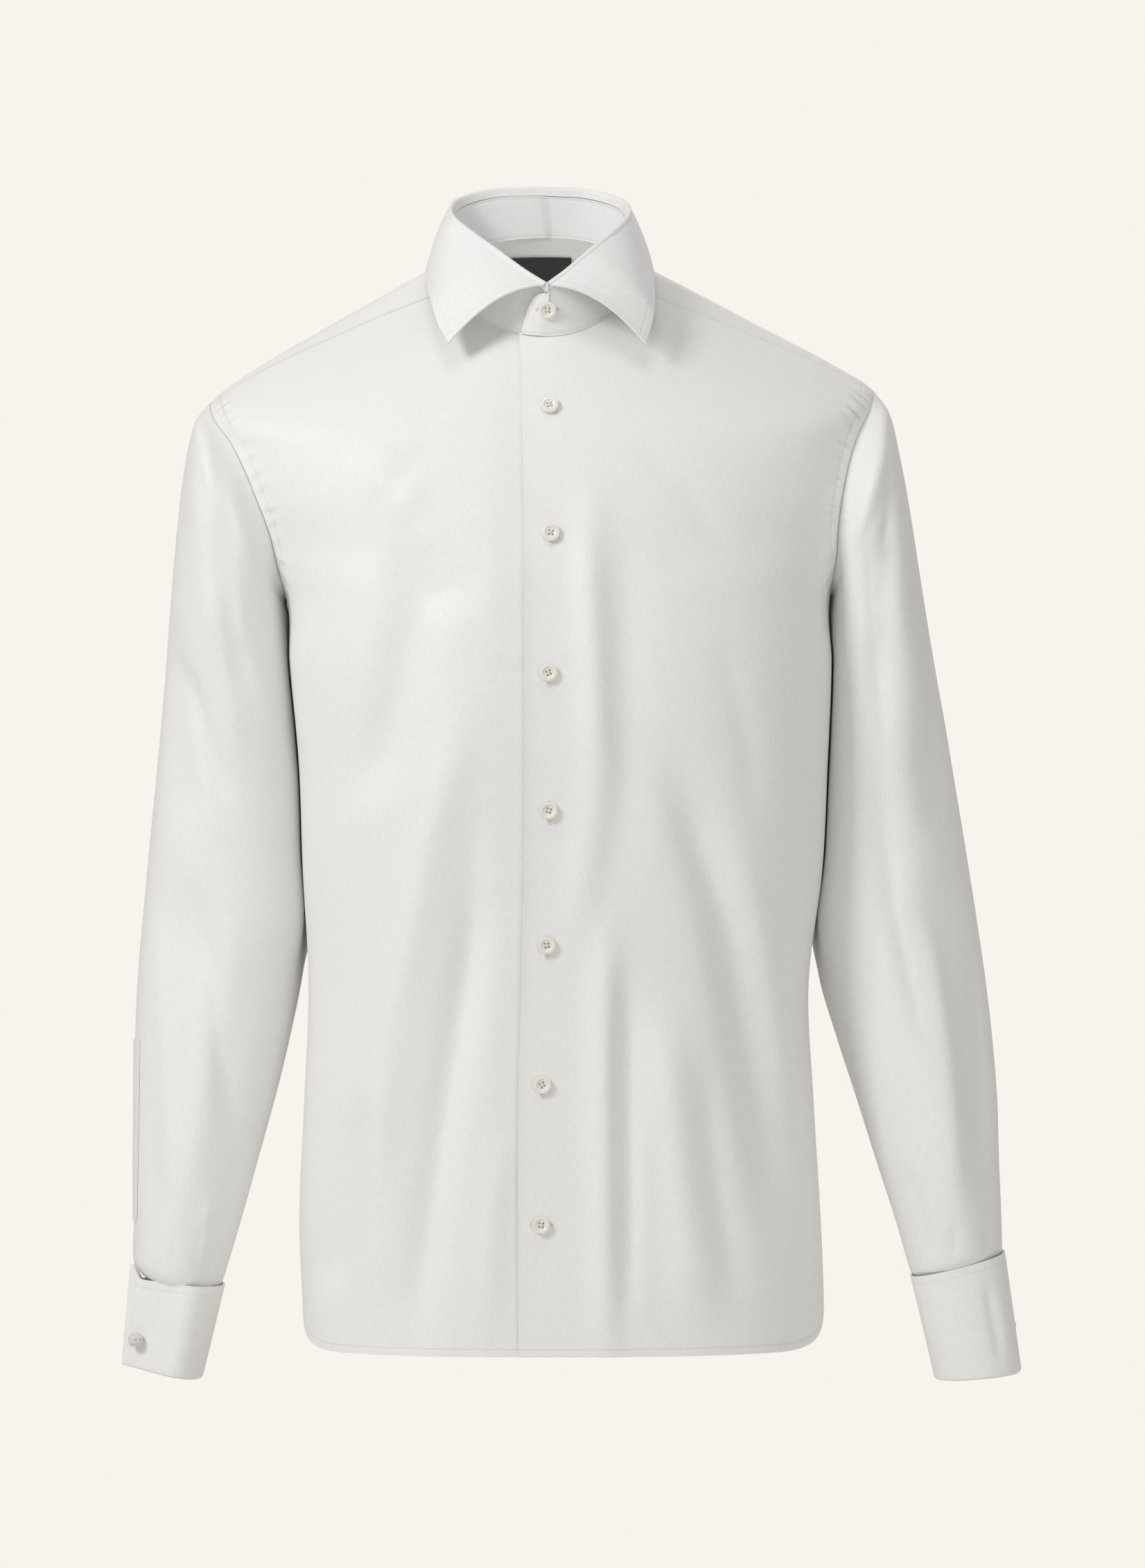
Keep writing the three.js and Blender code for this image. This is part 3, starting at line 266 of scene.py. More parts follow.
def body_normal(side, share, level):
    high, low = np.minimum(level + 2.5, NECK_LEVEL), np.maximum(level - 2.5, BODY[0][0])
    around = body_plain(side, share + 0.02, level) - body_plain(side, share - 0.02, level)
    up = body_plain(side, share, high) - body_plain(side, share, low)
    return unit(np.cross(around, up) * side[:, None])


def ring_length(level, start=0):
    """Length of a quarter of the body's ring on the wearer's left: the front's, or from 1 the back's."""
    line = body_plain(1.0, np.linspace(start, start + 1, 41), np.full(41, level))
    return float(np.linalg.norm(np.diff(line, axis=0), axis=1).sum())


print("half chest, front:", round(2 * ring_length(-260)), "mm")


# %% Fold heights
def line_apart(x, z, line):
    """How far points are from a bent line of three corners, and how far along it."""
    corners = np.array(line, float).reshape(3, 2)
    lengths = np.linalg.norm(np.diff(corners, axis=0), axis=1)
    best, along = np.full(len(x), 1e9), np.zeros(len(x))
    for k in range(2):
        way = (corners[k + 1] - corners[k]) / lengths[k]
        t = np.clip((x - corners[k, 0]) * way[0] + (z - corners[k, 1]) * way[1], 0, lengths[k])
        apart = np.hypot(x - corners[k, 0] - way[0] * t, z - corners[k, 1] - way[1] * t)
        nearer = apart < best
        best = np.where(nearer, apart, best)
        along = np.where(nearer, (t + lengths[:k].sum()) / lengths.sum(), along)
    return best, along


def crease_height(where, point, is_front):
    """A sharp crease has a peaked middle, a soft one is rounded. Each fades out at its two ends."""
    height = np.zeros(len(point))
    for place, face, *line, width, depth, sharp in CREASES:
        if place == where:
            apart, along = line_apart(point[:, 0], point[:, 2], line)
            fade = smooth(along / 0.3) * smooth((1 - along) / 0.3)
            soft, peaked = np.exp(-((apart / width) ** 2)), np.exp(-np.abs(apart) / (0.7 * width))
            height += np.where(is_front == (face > 0), 1, 0) * depth * fade * mix(soft, peaked, sharp)
    return height


def body_fold_height(point, is_front):
    height = np.zeros(len(point))
    for face, x0, z0, x1, z1, x2, z2, width, depth in BODY_FOLDS:
        t = (z0 - point[:, 2]) / (z0 - z2)
        fade = smooth((t + 0.12) / 0.3) * smooth((1.12 - t) / 0.3)
        knee = (z0 - z1) / (z0 - z2)
        x = np.where(t < knee, mix(x0, x1, t / knee), mix(x1, x2, (t - knee) / (1 - knee)))
        fold = depth * fade * np.exp(-(((point[:, 0] - x) / width) ** 2))
        height += np.where(is_front == (face > 0), fold, 0)
    return height


def body_point(side, share, level, lift=0.0):
    side, share, level = (np.array(v, float) for v in np.broadcast_arrays(side, share, level))
    point, normal = body_plain(side, share, level), body_normal(side, share, level)
    is_front = share < 1
    height = body_fold_height(point, is_front) + crease_height("body", point, is_front)
    height = height * smooth(np.abs(share - 1) / 0.2)
    return point + normal * (height + lift)[:, None], normal

# %% [markdown]
# ## Cloth as a thin shell
# Each piece starts as a grid of points on the body, one cell about 3 mm wide, with a wall of 0.8 mm behind it.
# The real cloth is half as thick, but its edges are turned in and sewn, so they show about this much.
# UV maps in metres carry the weave, and one more map for each sewn edge says how far away that edge is.

# %% Grids of points become cloth
SHELL = 0.8
pieces = {}


def grid_faces(rows, columns, ringed):
    last = columns if ringed else columns - 1
    i, j = np.meshgrid(np.arange(rows - 1), np.arange(last), indexing="ij")
    nxt = (j + 1) % columns
    quad = [i * columns + j, i * columns + nxt, (i + 1) * columns + nxt, (i + 1) * columns + j]
    return np.stack(quad, axis=-1).reshape(-1, 4), np.stack([i, j], axis=-1).reshape(-1, 2)


def weave_places(grid):
    """How far along each row and column a point lies, in metres: the threads run this way."""
    across = np.linalg.norm(np.diff(grid, axis=1), axis=2)
    down = np.linalg.norm(np.diff(grid, axis=0), axis=2)
    u = np.concatenate([np.zeros((len(grid), 1)), np.cumsum(across, axis=1)], axis=1)
    v = np.concatenate([np.zeros((1, grid.shape[1])), np.cumsum(down, axis=0)], axis=0)
    return np.stack([u, v], axis=2) * MM


def seam_places(points, line):
    """How far along a sewn edge each point lies, and how far from it, in metres."""
    steps = np.linalg.norm(np.diff(line, axis=0), axis=1)
    along = np.concatenate([[0], np.cumsum(steps)])
    ways = np.diff(line, axis=0) / steps[:, None]
    result = np.zeros((len(points), 2))
    for start in range(0, len(points), 2000):
        part = points[start:start + 2000]
        off = part[:, None, :] - line[None, :-1, :]
        t = np.clip((off * ways).sum(2), 0, steps)
        apart = np.linalg.norm(off - ways * t[..., None], axis=2)
        k = apart.argmin(1)
        rows = np.arange(len(part))
        result[start:start + 2000] = np.stack([along[k] + t[rows, k], apart[rows, k]], axis=1)
    return result * MM


def cloth_piece(name, grid, ringed=False, seams=None, thickness=SHELL, offset=-1.0, facing=None):
    """A closed thin shell from a grid of points in millimetres, with its outer face on the grid."""
    rows, columns = grid.shape[:2]
    faces, cells = grid_faces(rows, columns, ringed)
    points = grid.reshape(-1, 3)
    corner = points[faces]
    normal = np.cross(corner[:, 2] - corner[:, 0], corner[:, 3] - corner[:, 1])
    outward = facing if facing is not None else corner.mean(1) - points.mean(0)
    turned = (normal * outward).sum() < 0
    if turned:
        faces = faces[:, ::-1]
    mesh = bpy.data.meshes.new(name)
    mesh.from_pydata([tuple(p) for p in points * MM], [], faces.tolist())
    wide = np.concatenate([grid, grid[:, :1]], axis=1) if ringed else grid
    weave = weave_places(wide)
    i, j = cells[:, 0], cells[:, 1]
    corners = [weave[i, j], weave[i, j + 1], weave[i + 1, j + 1], weave[i + 1, j]]
    corners = np.stack(corners[::-1] if turned else corners, axis=1)
    mesh.uv_layers.new(name="weave").data.foreach_set("uv", corners.reshape(-1).astype(np.float32))
    for seam, line in (seams or {}).items():
        near = seam_places(points, line)[faces]
        mesh.uv_layers.new(name=seam).data.foreach_set("uv", near.reshape(-1).astype(np.float32))
    piece = bpy.data.objects.new(name, mesh)
    bpy.context.scene.collection.objects.link(piece)
    solidify = piece.modifiers.new("cloth thickness", "SOLIDIFY")
    solidify.thickness = thickness * MM
    solidify.offset = offset
    solidify.use_even_offset = False
    finish_piece(piece)
    pieces[name] = piece
    print(name, "has", len(piece.data.polygons), "faces")
    return piece


def finish_piece(piece, angle=42):
    """Modifiers become mesh, and only real edges stay sharp."""
    bpy.ops.object.select_all(action="DESELECT")
    piece.select_set(True)
    bpy.context.view_layer.objects.active = piece
    for modifier in list(piece.modifiers):
        bpy.ops.object.modifier_apply(modifier=modifier.name)
    bpy.ops.object.shade_smooth_by_angle(angle=math.radians(angle))
    bpy.ops.object.select_all(action="DESELECT")


# %% [markdown]
# ## Seams of the body
# A yoke covers the shoulders, and the fronts and the back hang from it. The armhole is a loop round
# the shoulder. Both cloths of a seam follow one line of points, so the seam has the same small gap
# all along.

# %% The armhole, the yoke seams and the curved hem
HALF_GAP = 0.15


def armhole_place(angle):
    reach = np.abs(np.sin(angle)) ** 0.85
    share = np.where(angle < math.pi, 1 - 0.215 * reach, 1 + 0.2 * reach)
    middle, half = (ARMHOLE_BOTTOM + ARMHOLE_TOP) / 2, (ARMHOLE_TOP - ARMHOLE_BOTTOM) / 2
    return share, middle - half * np.cos(angle)


def yoke_front_place(way):
    share, level = armhole_place(np.array([YOKE_FRONT_ANGLE]))
    return mix(share[0], YOKE_NECK, way) + YOKE_BOW * way * (1 - way), mix(level[0], NECK_LEVEL, way)


def yoke_back_place(way):
    share, level = armhole_place(np.array([YOKE_BACK_ANGLE]))
    return 1 + way + (share[0] - 1) * (1 - way) ** 2, mix(level[0], YOKE_BACK_LEVEL, smooth(way))


def hem_level(share):
    base = np.where(share < 1, HEM_FRONT, mix(HEM_FRONT, HEM_BACK, smooth((share - 1) / 0.4)))
    nearness = np.clip(1 - np.abs(share - 1) / HEM_CURVE, 0, 1)
    curve = 1 - np.sqrt(np.maximum(0, 1 - nearness**HEM_POWER))
    return base + (HEM_RISE + HEM_FRONT - base) * curve


def low_level(row, share):
    """Level of a row below the armhole. The lowest five rows follow the hem."""
    hem = mix(hem_level(share), LOW_LEVELS[0], np.clip(row / 5, 0, 1))
    return np.where(row >= 5, np.interp(row - 5, np.arange(len(LOW_LEVELS)), LOW_LEVELS), hem)


LAST_LOW = 5 + len(LOW_LEVELS) - 1
low_rows = np.concatenate([np.linspace(0, 5, 25)[:-1], np.linspace(5, LAST_LOW, steps_of(435) + 1)])
print("rows below the armhole:", len(low_rows))


def pulled(grid, edges):
    """The piece's sewn edges move in by half a seam gap."""
    grid = grid.copy()
    step = {"bottom": ((0, slice(None)), (1, slice(None))), "top": ((-1, slice(None)), (-2, slice(None))),
            "start": ((slice(None), 0), (slice(None), 1)), "end": ((slice(None), -1), (slice(None), -2))}
    for edge in edges:
        at, beside = step[edge]
        grid[at] = grid[at] + unit(grid[beside] - grid[at]) * HALF_GAP
    return grid


# %% [markdown]
# ## The two fronts
# The wearer's left front lies on top. Its edge is a plain turned-in fold with no stitching, so the buttonholes
# carry the line. The front under it is set 2 mm back, and the fold's edge stands a little proud of it.

# %% Cut the fronts
# Columns: level, how far the fold's edge stands out there
EDGE_PROUD = [[-760, 0.2], [-700, 0.6], [-590, 1.4], [-500, 1.8], [-400, 2.4],
              [-315, 2.0], [-220, 1.8], [-130, 0.7], [-38.4, 0.2]]


def front_grid(side):
    way_up = np.linspace(0, 1, steps_of(150) + 1)[1:]
    angles = np.linspace(0, YOKE_FRONT_ANGLE, steps_of(150) + 1)[1:]
    arm_share, arm_level = armhole_place(angles)
    yoke_share, yoke_level = yoke_front_place(way_up)
    n_low = len(low_rows)
    end_share = np.concatenate([np.ones(n_low), arm_share, yoke_share])
    level = np.concatenate([low_level(low_rows, np.zeros(n_low)), arm_level, yoke_level])
    edge = np.array([-FRONT_EDGE / ring_length(v) for v in level])
    columns = np.concatenate([np.linspace(0, 1, 7)[:-1], np.linspace(1, 13, steps_of(195) + 1)])
    way = (columns[None, :] - 1) / 12
    share = np.where(way < 0, edge[:, None] * (1 - columns[None, :]), way - (1 - end_share[:, None]) * way**2)
    rows = np.concatenate([low_rows, np.full(len(level) - n_low, 99.0)])
    low_levels = low_level(np.minimum(rows, LAST_LOW)[:, None], np.abs(share))
    levels = np.where(rows[:, None] < 99, low_levels, level[:, None])
    flat_share, flat_level = share.ravel(), levels.ravel()
    point, normal = body_point(float(side), flat_share, flat_level)
    mid = table_at(BODY, flat_level)[1]
    if side > 0:
        proud = table_at(EDGE_PROUD, flat_level)[1]
        lift = proud * np.exp(-np.clip(point[:, 0] - mid + FRONT_EDGE, 0, None) / 5)
    else:
        lift = -UNDERLAP * smooth((point[:, 0] - mid + 44) / 30)
    point = point + normal * lift[:, None]
    return pulled(point.reshape(share.shape + (3,)), ["end", "top"])


def front_piece(name, side):
    grid = front_grid(side)
    low = len(low_rows) - 1
    arm_top = low + steps_of(150)
    seams = {
        "hem": grid[0],
        "armhole": grid[low:arm_top + 1, -1],
        "yoke_seam": grid[arm_top:, -1],
        "side_seam": grid[:low + 1, -1],
        "front_edge": grid[:, 0],
    }
    return cloth_piece(name, grid, seams=seams, facing=np.array([0, -1.0, 0]))


front_left = front_piece("cloth_front_left", 1)
front_right = front_piece("cloth_front_right", -1)

# %% [markdown]
# ## Back and yoke
# The back hangs from a seam across the shoulder blades. The yoke is one doubled piece from that seam over the
# shoulders to the fronts. Its seam in front lies just ahead of the shoulder's ridge.


# %% Cut the back
def back_piece():
    n_low = len(low_rows)
    arm = np.linspace(0, 1, steps_of(150) + 1)[1:]
    angles = mix(2 * math.pi, YOKE_BACK_ANGLE, arm)
    arm_share, arm_level = armhole_place(angles)
    across = np.linspace(-1, 1, steps_of(400) + 1)
    way = 1 - np.abs(across)
    end_share = np.concatenate([np.ones(n_low), arm_share])
    share = 1 + way[None, :] + (end_share[:, None] - 1) * (1 - way[None, :]) ** 2
    rise = yoke_back_place(way)[1] - armhole_place(np.array([YOKE_BACK_ANGLE]))[1]
    low = low_level(low_rows[:, None], share[:n_low])
    high = arm_level[:, None] + rise[None, :] * smooth(arm)[:, None]
    side = np.where(across < 0, -1.0, 1.0)[None, :] + 0 * share
    point, _ = body_point(side.ravel(), share.ravel(), np.vstack([low, high]).ravel())
    grid = pulled(point.reshape(share.shape + (3,)), ["start", "end", "top"])
    armholes = np.concatenate([grid[n_low - 1:, 0], grid[n_low - 1:, -1][::-1]])
    seams = {"hem": grid[0], "armhole": armholes, "yoke_seam": grid[-1], "side_seam": grid[:n_low, -1]}
    return cloth_piece("cloth_back", grid, seams=seams, facing=np.array([0, 1.0, 0]))


back = back_piece()


# %% Cut the yoke
def yoke_piece():
    over = np.linspace(0, 1, steps_of(75) + 1)
    arm_share, arm_level = armhole_place(mix(YOKE_FRONT_ANGLE, YOKE_BACK_ANGLE, over))
    across = np.linspace(-1, 1, steps_of(330) + 1)[1:-1]
    way = 1 - np.abs(across)
    back_share, back_level = yoke_back_place(way)
    side = np.concatenate([-np.ones(len(over)), np.where(across < 0, -1.0, 1.0), np.ones(len(over))])
    share = np.concatenate([arm_share, back_share, arm_share[::-1]])
    level = np.concatenate([arm_level, back_level, arm_level[::-1]])
    neck_over = mix(YOKE_NECK, YOKE_NECK_BACK, over)
    neck = np.concatenate([neck_over, mix(YOKE_NECK_BACK, 2, way), neck_over[::-1]])
    near = np.concatenate([1 - over, np.zeros(len(across)), (1 - over)[::-1]])
    up = np.linspace(0, 1, steps_of(160) + 1)[:, None]
    shares = mix(share[None, :], neck[None, :], up) + YOKE_BOW * up * (1 - up) * near[None, :]
    levels = mix(level[None, :], NECK_LEVEL, up)
    point, _ = body_point((side[None, :] + 0 * shares).ravel(), shares.ravel(), levels.ravel())
    grid = pulled(point.reshape(shares.shape + (3,)), ["start", "end", "top"])
    n = len(over)
    grid[0, n - 1:-n + 1] += unit(grid[1, n - 1:-n + 1] - grid[0, n - 1:-n + 1]) * HALF_GAP
    seams = {
        "front_seam": grid[:, 0],
        "front_seam_left": grid[:, -1],
        "back_seam": grid[0, n - 1:-n + 1],
        "armhole": grid[0, :n],
        "armhole_left": grid[0, -n:],
    }
    return cloth_piece("cloth_yoke", grid, seams=seams, facing=np.array([0, 0.3, 1.0]))


yoke = yoke_piece()

# %% [markdown]
# ## Sleeves
# A sleeve is one tube from the armhole to the cuff. Its rings follow the arm, turned a little to the front.

# %% Rings of the two sleeves: inner x, z, outer x, z, middle y, half of the depth
SLEEVE_RIGHT = [
    [-172.8, -220, -236, -94, 10, 70],
    [-171.4, -226, -243, -124, 11, 71],
    [-170, -234, -248.5, -168, 13, 71],
    [-168, -246, -253, -218, 15, 71],
    [-165, -265, -256.5, -262, 17, 70],
    [-161.5, -303, -260, -303, 19, 69],
    [-158, -345, -264, -345, 20, 67],
    [-156, -390, -268.5, -390, 20, 65],
    [-154.5, -435, -272.5, -435, 18, 63],
    [-162.6, -476, -275.7, -476, 14, 60],
    [-171, -518, -277.2, -518, 9, 57],
    [-181, -560, -277.2, -560, 4, 54],
    [-193, -604, -277.2, -604, -1, 51],
    [-204.5, -645, -276.8, -641, -6, 48],
    [-215, -680.5, -276.7, -668.9, -11, 42],
    [-217.0, -685.0, -271.0, -677.5, -12, 39.5],
    [-222, -688.9, -258.8, -685.4, -12, 34.2],
]
SLEEVE_LEFT = [
    [201, -218, 242, -88, 10, 70],
    [200, -224, 249.5, -120, 11, 71],
    [198.6, -232, 257, -163, 13, 71],
    [197, -244, 265, -212, 15, 71],
    [195.5, -264, 273, -258, 17, 70],
    [194, -303, 281, -303, 19, 69],
    [192, -345, 288, -345, 20, 67],
    [189.5, -390, 295.5, -390, 20, 65],
    [186.5, -435, 302.5, -435, 18, 63],
    [193.8, -476, 308.5, -476, 14, 60],
    [206, -518, 313, -518, 9, 57],
    [219.5, -560, 316, -560, 4, 54],
    [233.3, -604, 316.8, -604, -1, 51],
    [245.5, -642, 317.8, -636, -5, 48],
    [255.5, -676.5, 318.2, -659.5, -8, 42],
    [257.6, -678.9, 318, -663.4, -6.5, 40.5],
    [261, -682.9, 312.8, -669.4, -6.5, 36.8],
]


REST_FROM, REST_TO, REST_CLEAR = -216, -480, 1.4


def sleeve_fold_height(level, degrees, side):
    height = np.zeros_like(level)
    for level0, angle0, level1, angle1, width, depth in SLEEVE_FOLDS:
        t = (level0 - level) / (level0 - level1)
        fade = smooth((t + 0.1) / 0.35) * smooth((1.1 - t) / 0.35)
        apart = degrees - mix(angle0, angle1, t) - (LEFT_FOLD_TURN if side > 0 else 0)
        height += depth * fade * np.exp(-((apart / width) ** 2))
    return height


def side_of_body(side, y, level):
    """How far out the body's side is at a depth y and a level."""
    _, mid, front_y, left_x, right_x, side_y, _, _, back_y, _, front_n, back_n = table_at(BODY, level)
    front = y < side_y
    power = np.where(front, front_n, back_n)
    reach = np.clip(np.abs((y - side_y) / (np.where(front, front_y, back_y) - side_y)), 0, 1)
    return mid + (np.where(side > 0, right_x, left_x) - mid) * (1 - reach**power) ** (1 / power)


def rested_on_body(points, side):
    """The sleeve's points, moved out to the body's side where the sleeve rests against it."""
    limit = side_of_body(side, points[:, 1], points[:, 2]) + side * REST_CLEAR
    resting = (points[:, 2] < REST_FROM) & (points[:, 2] > REST_TO) & (side * (points[:, 0] - limit) < 0)
    return np.column_stack([np.where(resting, limit, points[:, 0]), points[:, 1:]])


def sleeve_rings(side, angle):
    """The sleeve's rows of points at the given angles: the armhole, then every ring of the table."""
    share, level = armhole_place(angle)
    first, _ = body_point(float(side), share, level)
    ends, _ = body_point(float(side), np.array([1.0, 1.0]), np.array([ARMHOLE_BOTTOM, ARMHOLE_TOP]))
    away = unit(np.cross(ends[1] - ends[0], [0, 1.0, 0]))
    rings = [first + away * math.copysign(1, away[0]) * side * 0.3]
    for inner_x, inner_z, outer_x, outer_z, mid_y, half_y in SLEEVE_LEFT if side > 0 else SLEEVE_RIGHT:
        centre = np.array([(inner_x + outer_x) / 2, mid_y, (inner_z + outer_z) / 2])
        reach = np.array([inner_x, mid_y, inner_z]) - centre
        arm = np.cos(angle)[:, None] * reach
        arm[:, 1] -= half_y * np.sin(angle)
        height = sleeve_fold_height(centre[2] + arm[:, 2], np.degrees(angle), side)
        rings.append(rested_on_body(centre + arm * (1 + height / half_y)[:, None], side))
    return np.array(rings)


def sleeve_surface(side, place, angle):
    """Smooth rows between the rings. place counts rows from the armhole."""
    rings = sleeve_rings(side, angle)
    key = np.concatenate([[0], np.cumsum(np.linalg.norm(np.diff(rings, axis=0), axis=2).mean(1))])
    flat = np.concatenate([key[:, None], rings.reshape(len(rings), -1)], axis=1)
    at = np.interp(place, np.arange(len(rings)), key)
    return table_at(flat, at)[1:].T.reshape(len(at), len(angle), 3)


def sleeve_normals(grid, ringed=True):
    across = np.roll(grid, -1, 1) - np.roll(grid, 1, 1) if ringed else np.gradient(grid, axis=1)
    normal = unit(np.cross(across, np.gradient(grid, axis=0)))
    outward = grid - grid.mean(axis=1, keepdims=True)
    return normal * np.sign((normal * outward).sum())


def sleeve_piece(name, side):
    angle = np.linspace(0, 2 * math.pi, steps_of(420) + 1)[:-1]
    rings = sleeve_rings(side, angle)
    lengths = np.linalg.norm(np.diff(rings, axis=0), axis=2).mean(1)
    stretches = [k + np.linspace(0, 1, steps_of(v) + 1)[:-1] for k, v in enumerate(lengths)]
    place = np.concatenate(stretches + [[len(lengths)]])
    grid = sleeve_surface(side, place, angle)
    normal = sleeve_normals(grid)
    where = "sleeve_left" if side > 0 else "sleeve_right"
    height = crease_height(where, grid.reshape(-1, 3), (normal[..., 1] < 0.1).ravel()).reshape(grid.shape[:2])
    height *= smooth(place / 1.5)[:, None] * smooth((len(lengths) - place) / 1.2)[:, None]
    grid = grid + normal * height[..., None]
    print(name, "is", round(lengths.sum()), "mm long along its middle")
    return cloth_piece(name, grid, ringed=True, seams={"armhole": np.vstack([grid[0], grid[0, :1]])})


sleeve_left = sleeve_piece("cloth_sleeve_left", 1)
sleeve_right = sleeve_piece("cloth_sleeve_right", -1)

# %% [markdown]
# ## The collar
# A cutaway collar has two parts. The stand is a band round the neck, and the leaf folds over its top and falls
# outside. The leaf is starched, so it keeps one clean curve from the fold to its free edge.

# %% Fold and free edge of the leaf, from the front to the middle of the back
COLLAR = [
    [0.0, 0.9, -63, -4, 66.3, -73, -45.5, 0, 19],
    [0.1, 14.5, -55, 6, 71.5, -62, -33, 5, 12],
    [0.21, 31, -43, 20, 75, -49, -19, 7, 6],
    [0.46, 58.5, -7, 45, 77.5, -9, 1.5, 6, 0],
    [0.58, 61.5, 18, 55.5, 77.8, 20, 12.5, 5, 0],
    [0.7, 55, 40, 64, 71, 49, 20, 5, 0],
    [0.84, 33, 54, 71, 44, 71, 25, 5, 0],
    [1.0, 0, 58, 73, 0, 79, 28, 5, 0],
]
COLLAR_MID = 6.5
FOLD_RADIUS = 1.7
LEAF_INSIDE = 4.5
STAND_OVER, STAND_UNDER = 16, 15
CLOTH = 1.2


def collar_frame(side, place):
    """Fold, free edge and neck ring at places round the collar, and which way is up and out there."""
    side = np.asarray(side, float)
    _, fold_x, fold_y, fold_z, edge_x, edge_y, edge_z, out_by, up_by = table_at(COLLAR, place)
    mid = COLLAR_MID * (1 - place) ** 2
    fold = np.stack([mid + side * fold_x, fold_y, fold_z], axis=1)
    edge = np.stack([mid + side * edge_x, edge_y, edge_z], axis=1)
    ring = body_plain(side, 2 * place, np.full(len(place), NECK_LEVEL))
    rise = unit(fold - ring)
    out = edge - fold
    out = unit(out - (out * rise).sum(1)[:, None] * rise)
    return fold, edge, ring, rise, out, out_by, up_by


def leaf_piece():
    half = np.linspace(0, 1, 76)
    spread = 0.75 * half + 0.25 * half * half
    place = np.concatenate([spread, spread[::-1][1:]])
    side = np.concatenate([-np.ones(76), np.ones(75)])
    fold, edge, _, rise, out, out_by, up_by = collar_frame(side, place)
    centre = fold - rise * FOLD_RADIUS
    rows = [centre - out * FOLD_RADIUS - rise * LEAF_INSIDE * (1 - t) for t in np.linspace(0, 1, 4)[:-1]]
    for angle in np.linspace(-math.pi / 2, math.pi / 2, 9):
        rows.append(centre + FOLD_RADIUS * (out * math.sin(angle) + rise * math.cos(angle)))
    start = rows[-1]
    bulge = (start + edge) / 2 + out * out_by[:, None] + rise * up_by[:, None]
    for t in np.linspace(0, 1, 30)[1:]:
        rows.append(start * (1 - t) ** 2 + bulge * 2 * t * (1 - t) + edge * t * t)
    grid = np.array(rows)
    fall = grid[11:]
    seams = {"free_edge": grid[-1], "front_edge": fall[:, 0], "front_edge_left": fall[:, -1], "fold": grid[7]}
    outward = np.array([0, 0, 1.0])
    return cloth_piece("cloth_collar_leaf", grid, seams=seams, thickness=1.3, offset=0.0, facing=outward)


leaf = leaf_piece()


# %% The stand, from its under end to its buttoned over end
def stand_piece():
    total = 2 * ring_length(NECK_LEVEL)
    half = np.linspace(0, 1, 71)[1:]
    spread = 0.75 * half + 0.25 * half * half
    under = np.linspace(STAND_UNDER, 0, 8)
    over = STAND_OVER * np.sin(np.linspace(0, math.pi / 2, 14))
    place = np.concatenate([under / total, spread, spread[::-1][1:], over / total])
    side = np.concatenate([np.ones(8), -np.ones(70), np.ones(69), -np.ones(14)])
    past = np.concatenate([under, np.zeros(139), over])
    is_under = np.concatenate([np.ones(78, bool), np.zeros(83, bool)])
    fold, _, ring, rise, out, _, _ = collar_frame(side, place)
    full = np.linalg.norm(fold - ring, axis=1) - FOLD_RADIUS - LEAF_INSIDE + 0.6
    rounding = np.sqrt(np.maximum(0, 1 - (past / STAND_OVER) ** 2))
    tall = np.where(past > 0, full * mix(0.45, 1, rounding) - 1.5 * smooth(past / 4), full)
    outward = unit(np.stack([ring[:, 0], ring[:, 1], 0 * place], axis=1))
    at = np.where(side > 0, 0, ring[:, 0] - COLLAR_MID)
    behind = np.where(is_under, -UNDERLAP * smooth((at + 44) / 30), 0)
    proud = np.where(is_under, 0, 1.3 * smooth((past + 4) / 10))
    foot = ring + outward * (behind + 0.75 + proud)[:, None] - rise * 1.0
    lean = -out * FOLD_RADIUS - outward * 0.75
    rows = [foot + rise * (tall * t)[:, None] + lean * t for t in np.linspace(0, 1, 14)]
    grid = np.array(rows)
    seams = {"neck_seam": grid[0], "top_edge": grid[-1], "over_end": grid[:, -1]}
    return cloth_piece("cloth_collar_stand", grid, seams=seams, thickness=1.2, offset=0.0, facing=None)


stand = stand_piece()

# %% [markdown]
# ## French cuffs
# A French cuff is a long band folded back on itself. Its two ends lie flat against each other, pinned
# by a link, so in plan it is an open loop, like a drop of water with a flat tail.

# %% The cuffs in plan and their slopes
CUFF_PLAN = [
    [36, -14.9, 12.4, 50.4],
    [30, -18.6, 8, 42],
    [20, -24.6, 0, 38.5],
    [9, -31.0, -14, 33],
    [-6, -37.0, -25, 21],
    [-17, -29, -30, 0],
    [-22, -9, -27.5, -22],
    [-20.5, 14, -14, -36],
    [-12, 32, 6, -38],
    [4, 36, 21.5, -29],
    [17, 25, 27, -9],
    [23, 5, 27, 12],
    [26, -9, 23.5, 30],
    [31, -13.3, 17, 41],
    [36, -13.9, 13.4, 49.8],
]
CUFF_RIGHT = (-1, -240, -12, -251.4, 0.16, (-278, -679.3, -0.09), (-283.3, -737.9, -0.19), 9.5)
CUFF_LEFT = (1, 289, -6, 302.6, 0.09, (257, -679, 0.262), (273, -749, 0.093), 0)
CUFF_LAYER = 2.4


def cuff_plan(side, steps):
    right_out, right_y, left_out, left_y = np.array(CUFF_PLAN, float).T
    corners = np.column_stack([side * (left_out if side > 0 else right_out), left_y if side > 0 else right_y])
    key = np.concatenate([[0], np.cumsum(np.sqrt(np.linalg.norm(np.diff(corners, axis=0), axis=1)))])
    fine = table_at(np.column_stack([key, corners]), np.linspace(0, key[-1], 600))[1:].T
    along = np.concatenate([[0], np.cumsum(np.linalg.norm(np.diff(fine, axis=0), axis=1))])
    at = np.linspace(0, along[-1], steps)
    return np.stack([np.interp(at, along, fine[:, k]) for k in (0, 1)], axis=1)


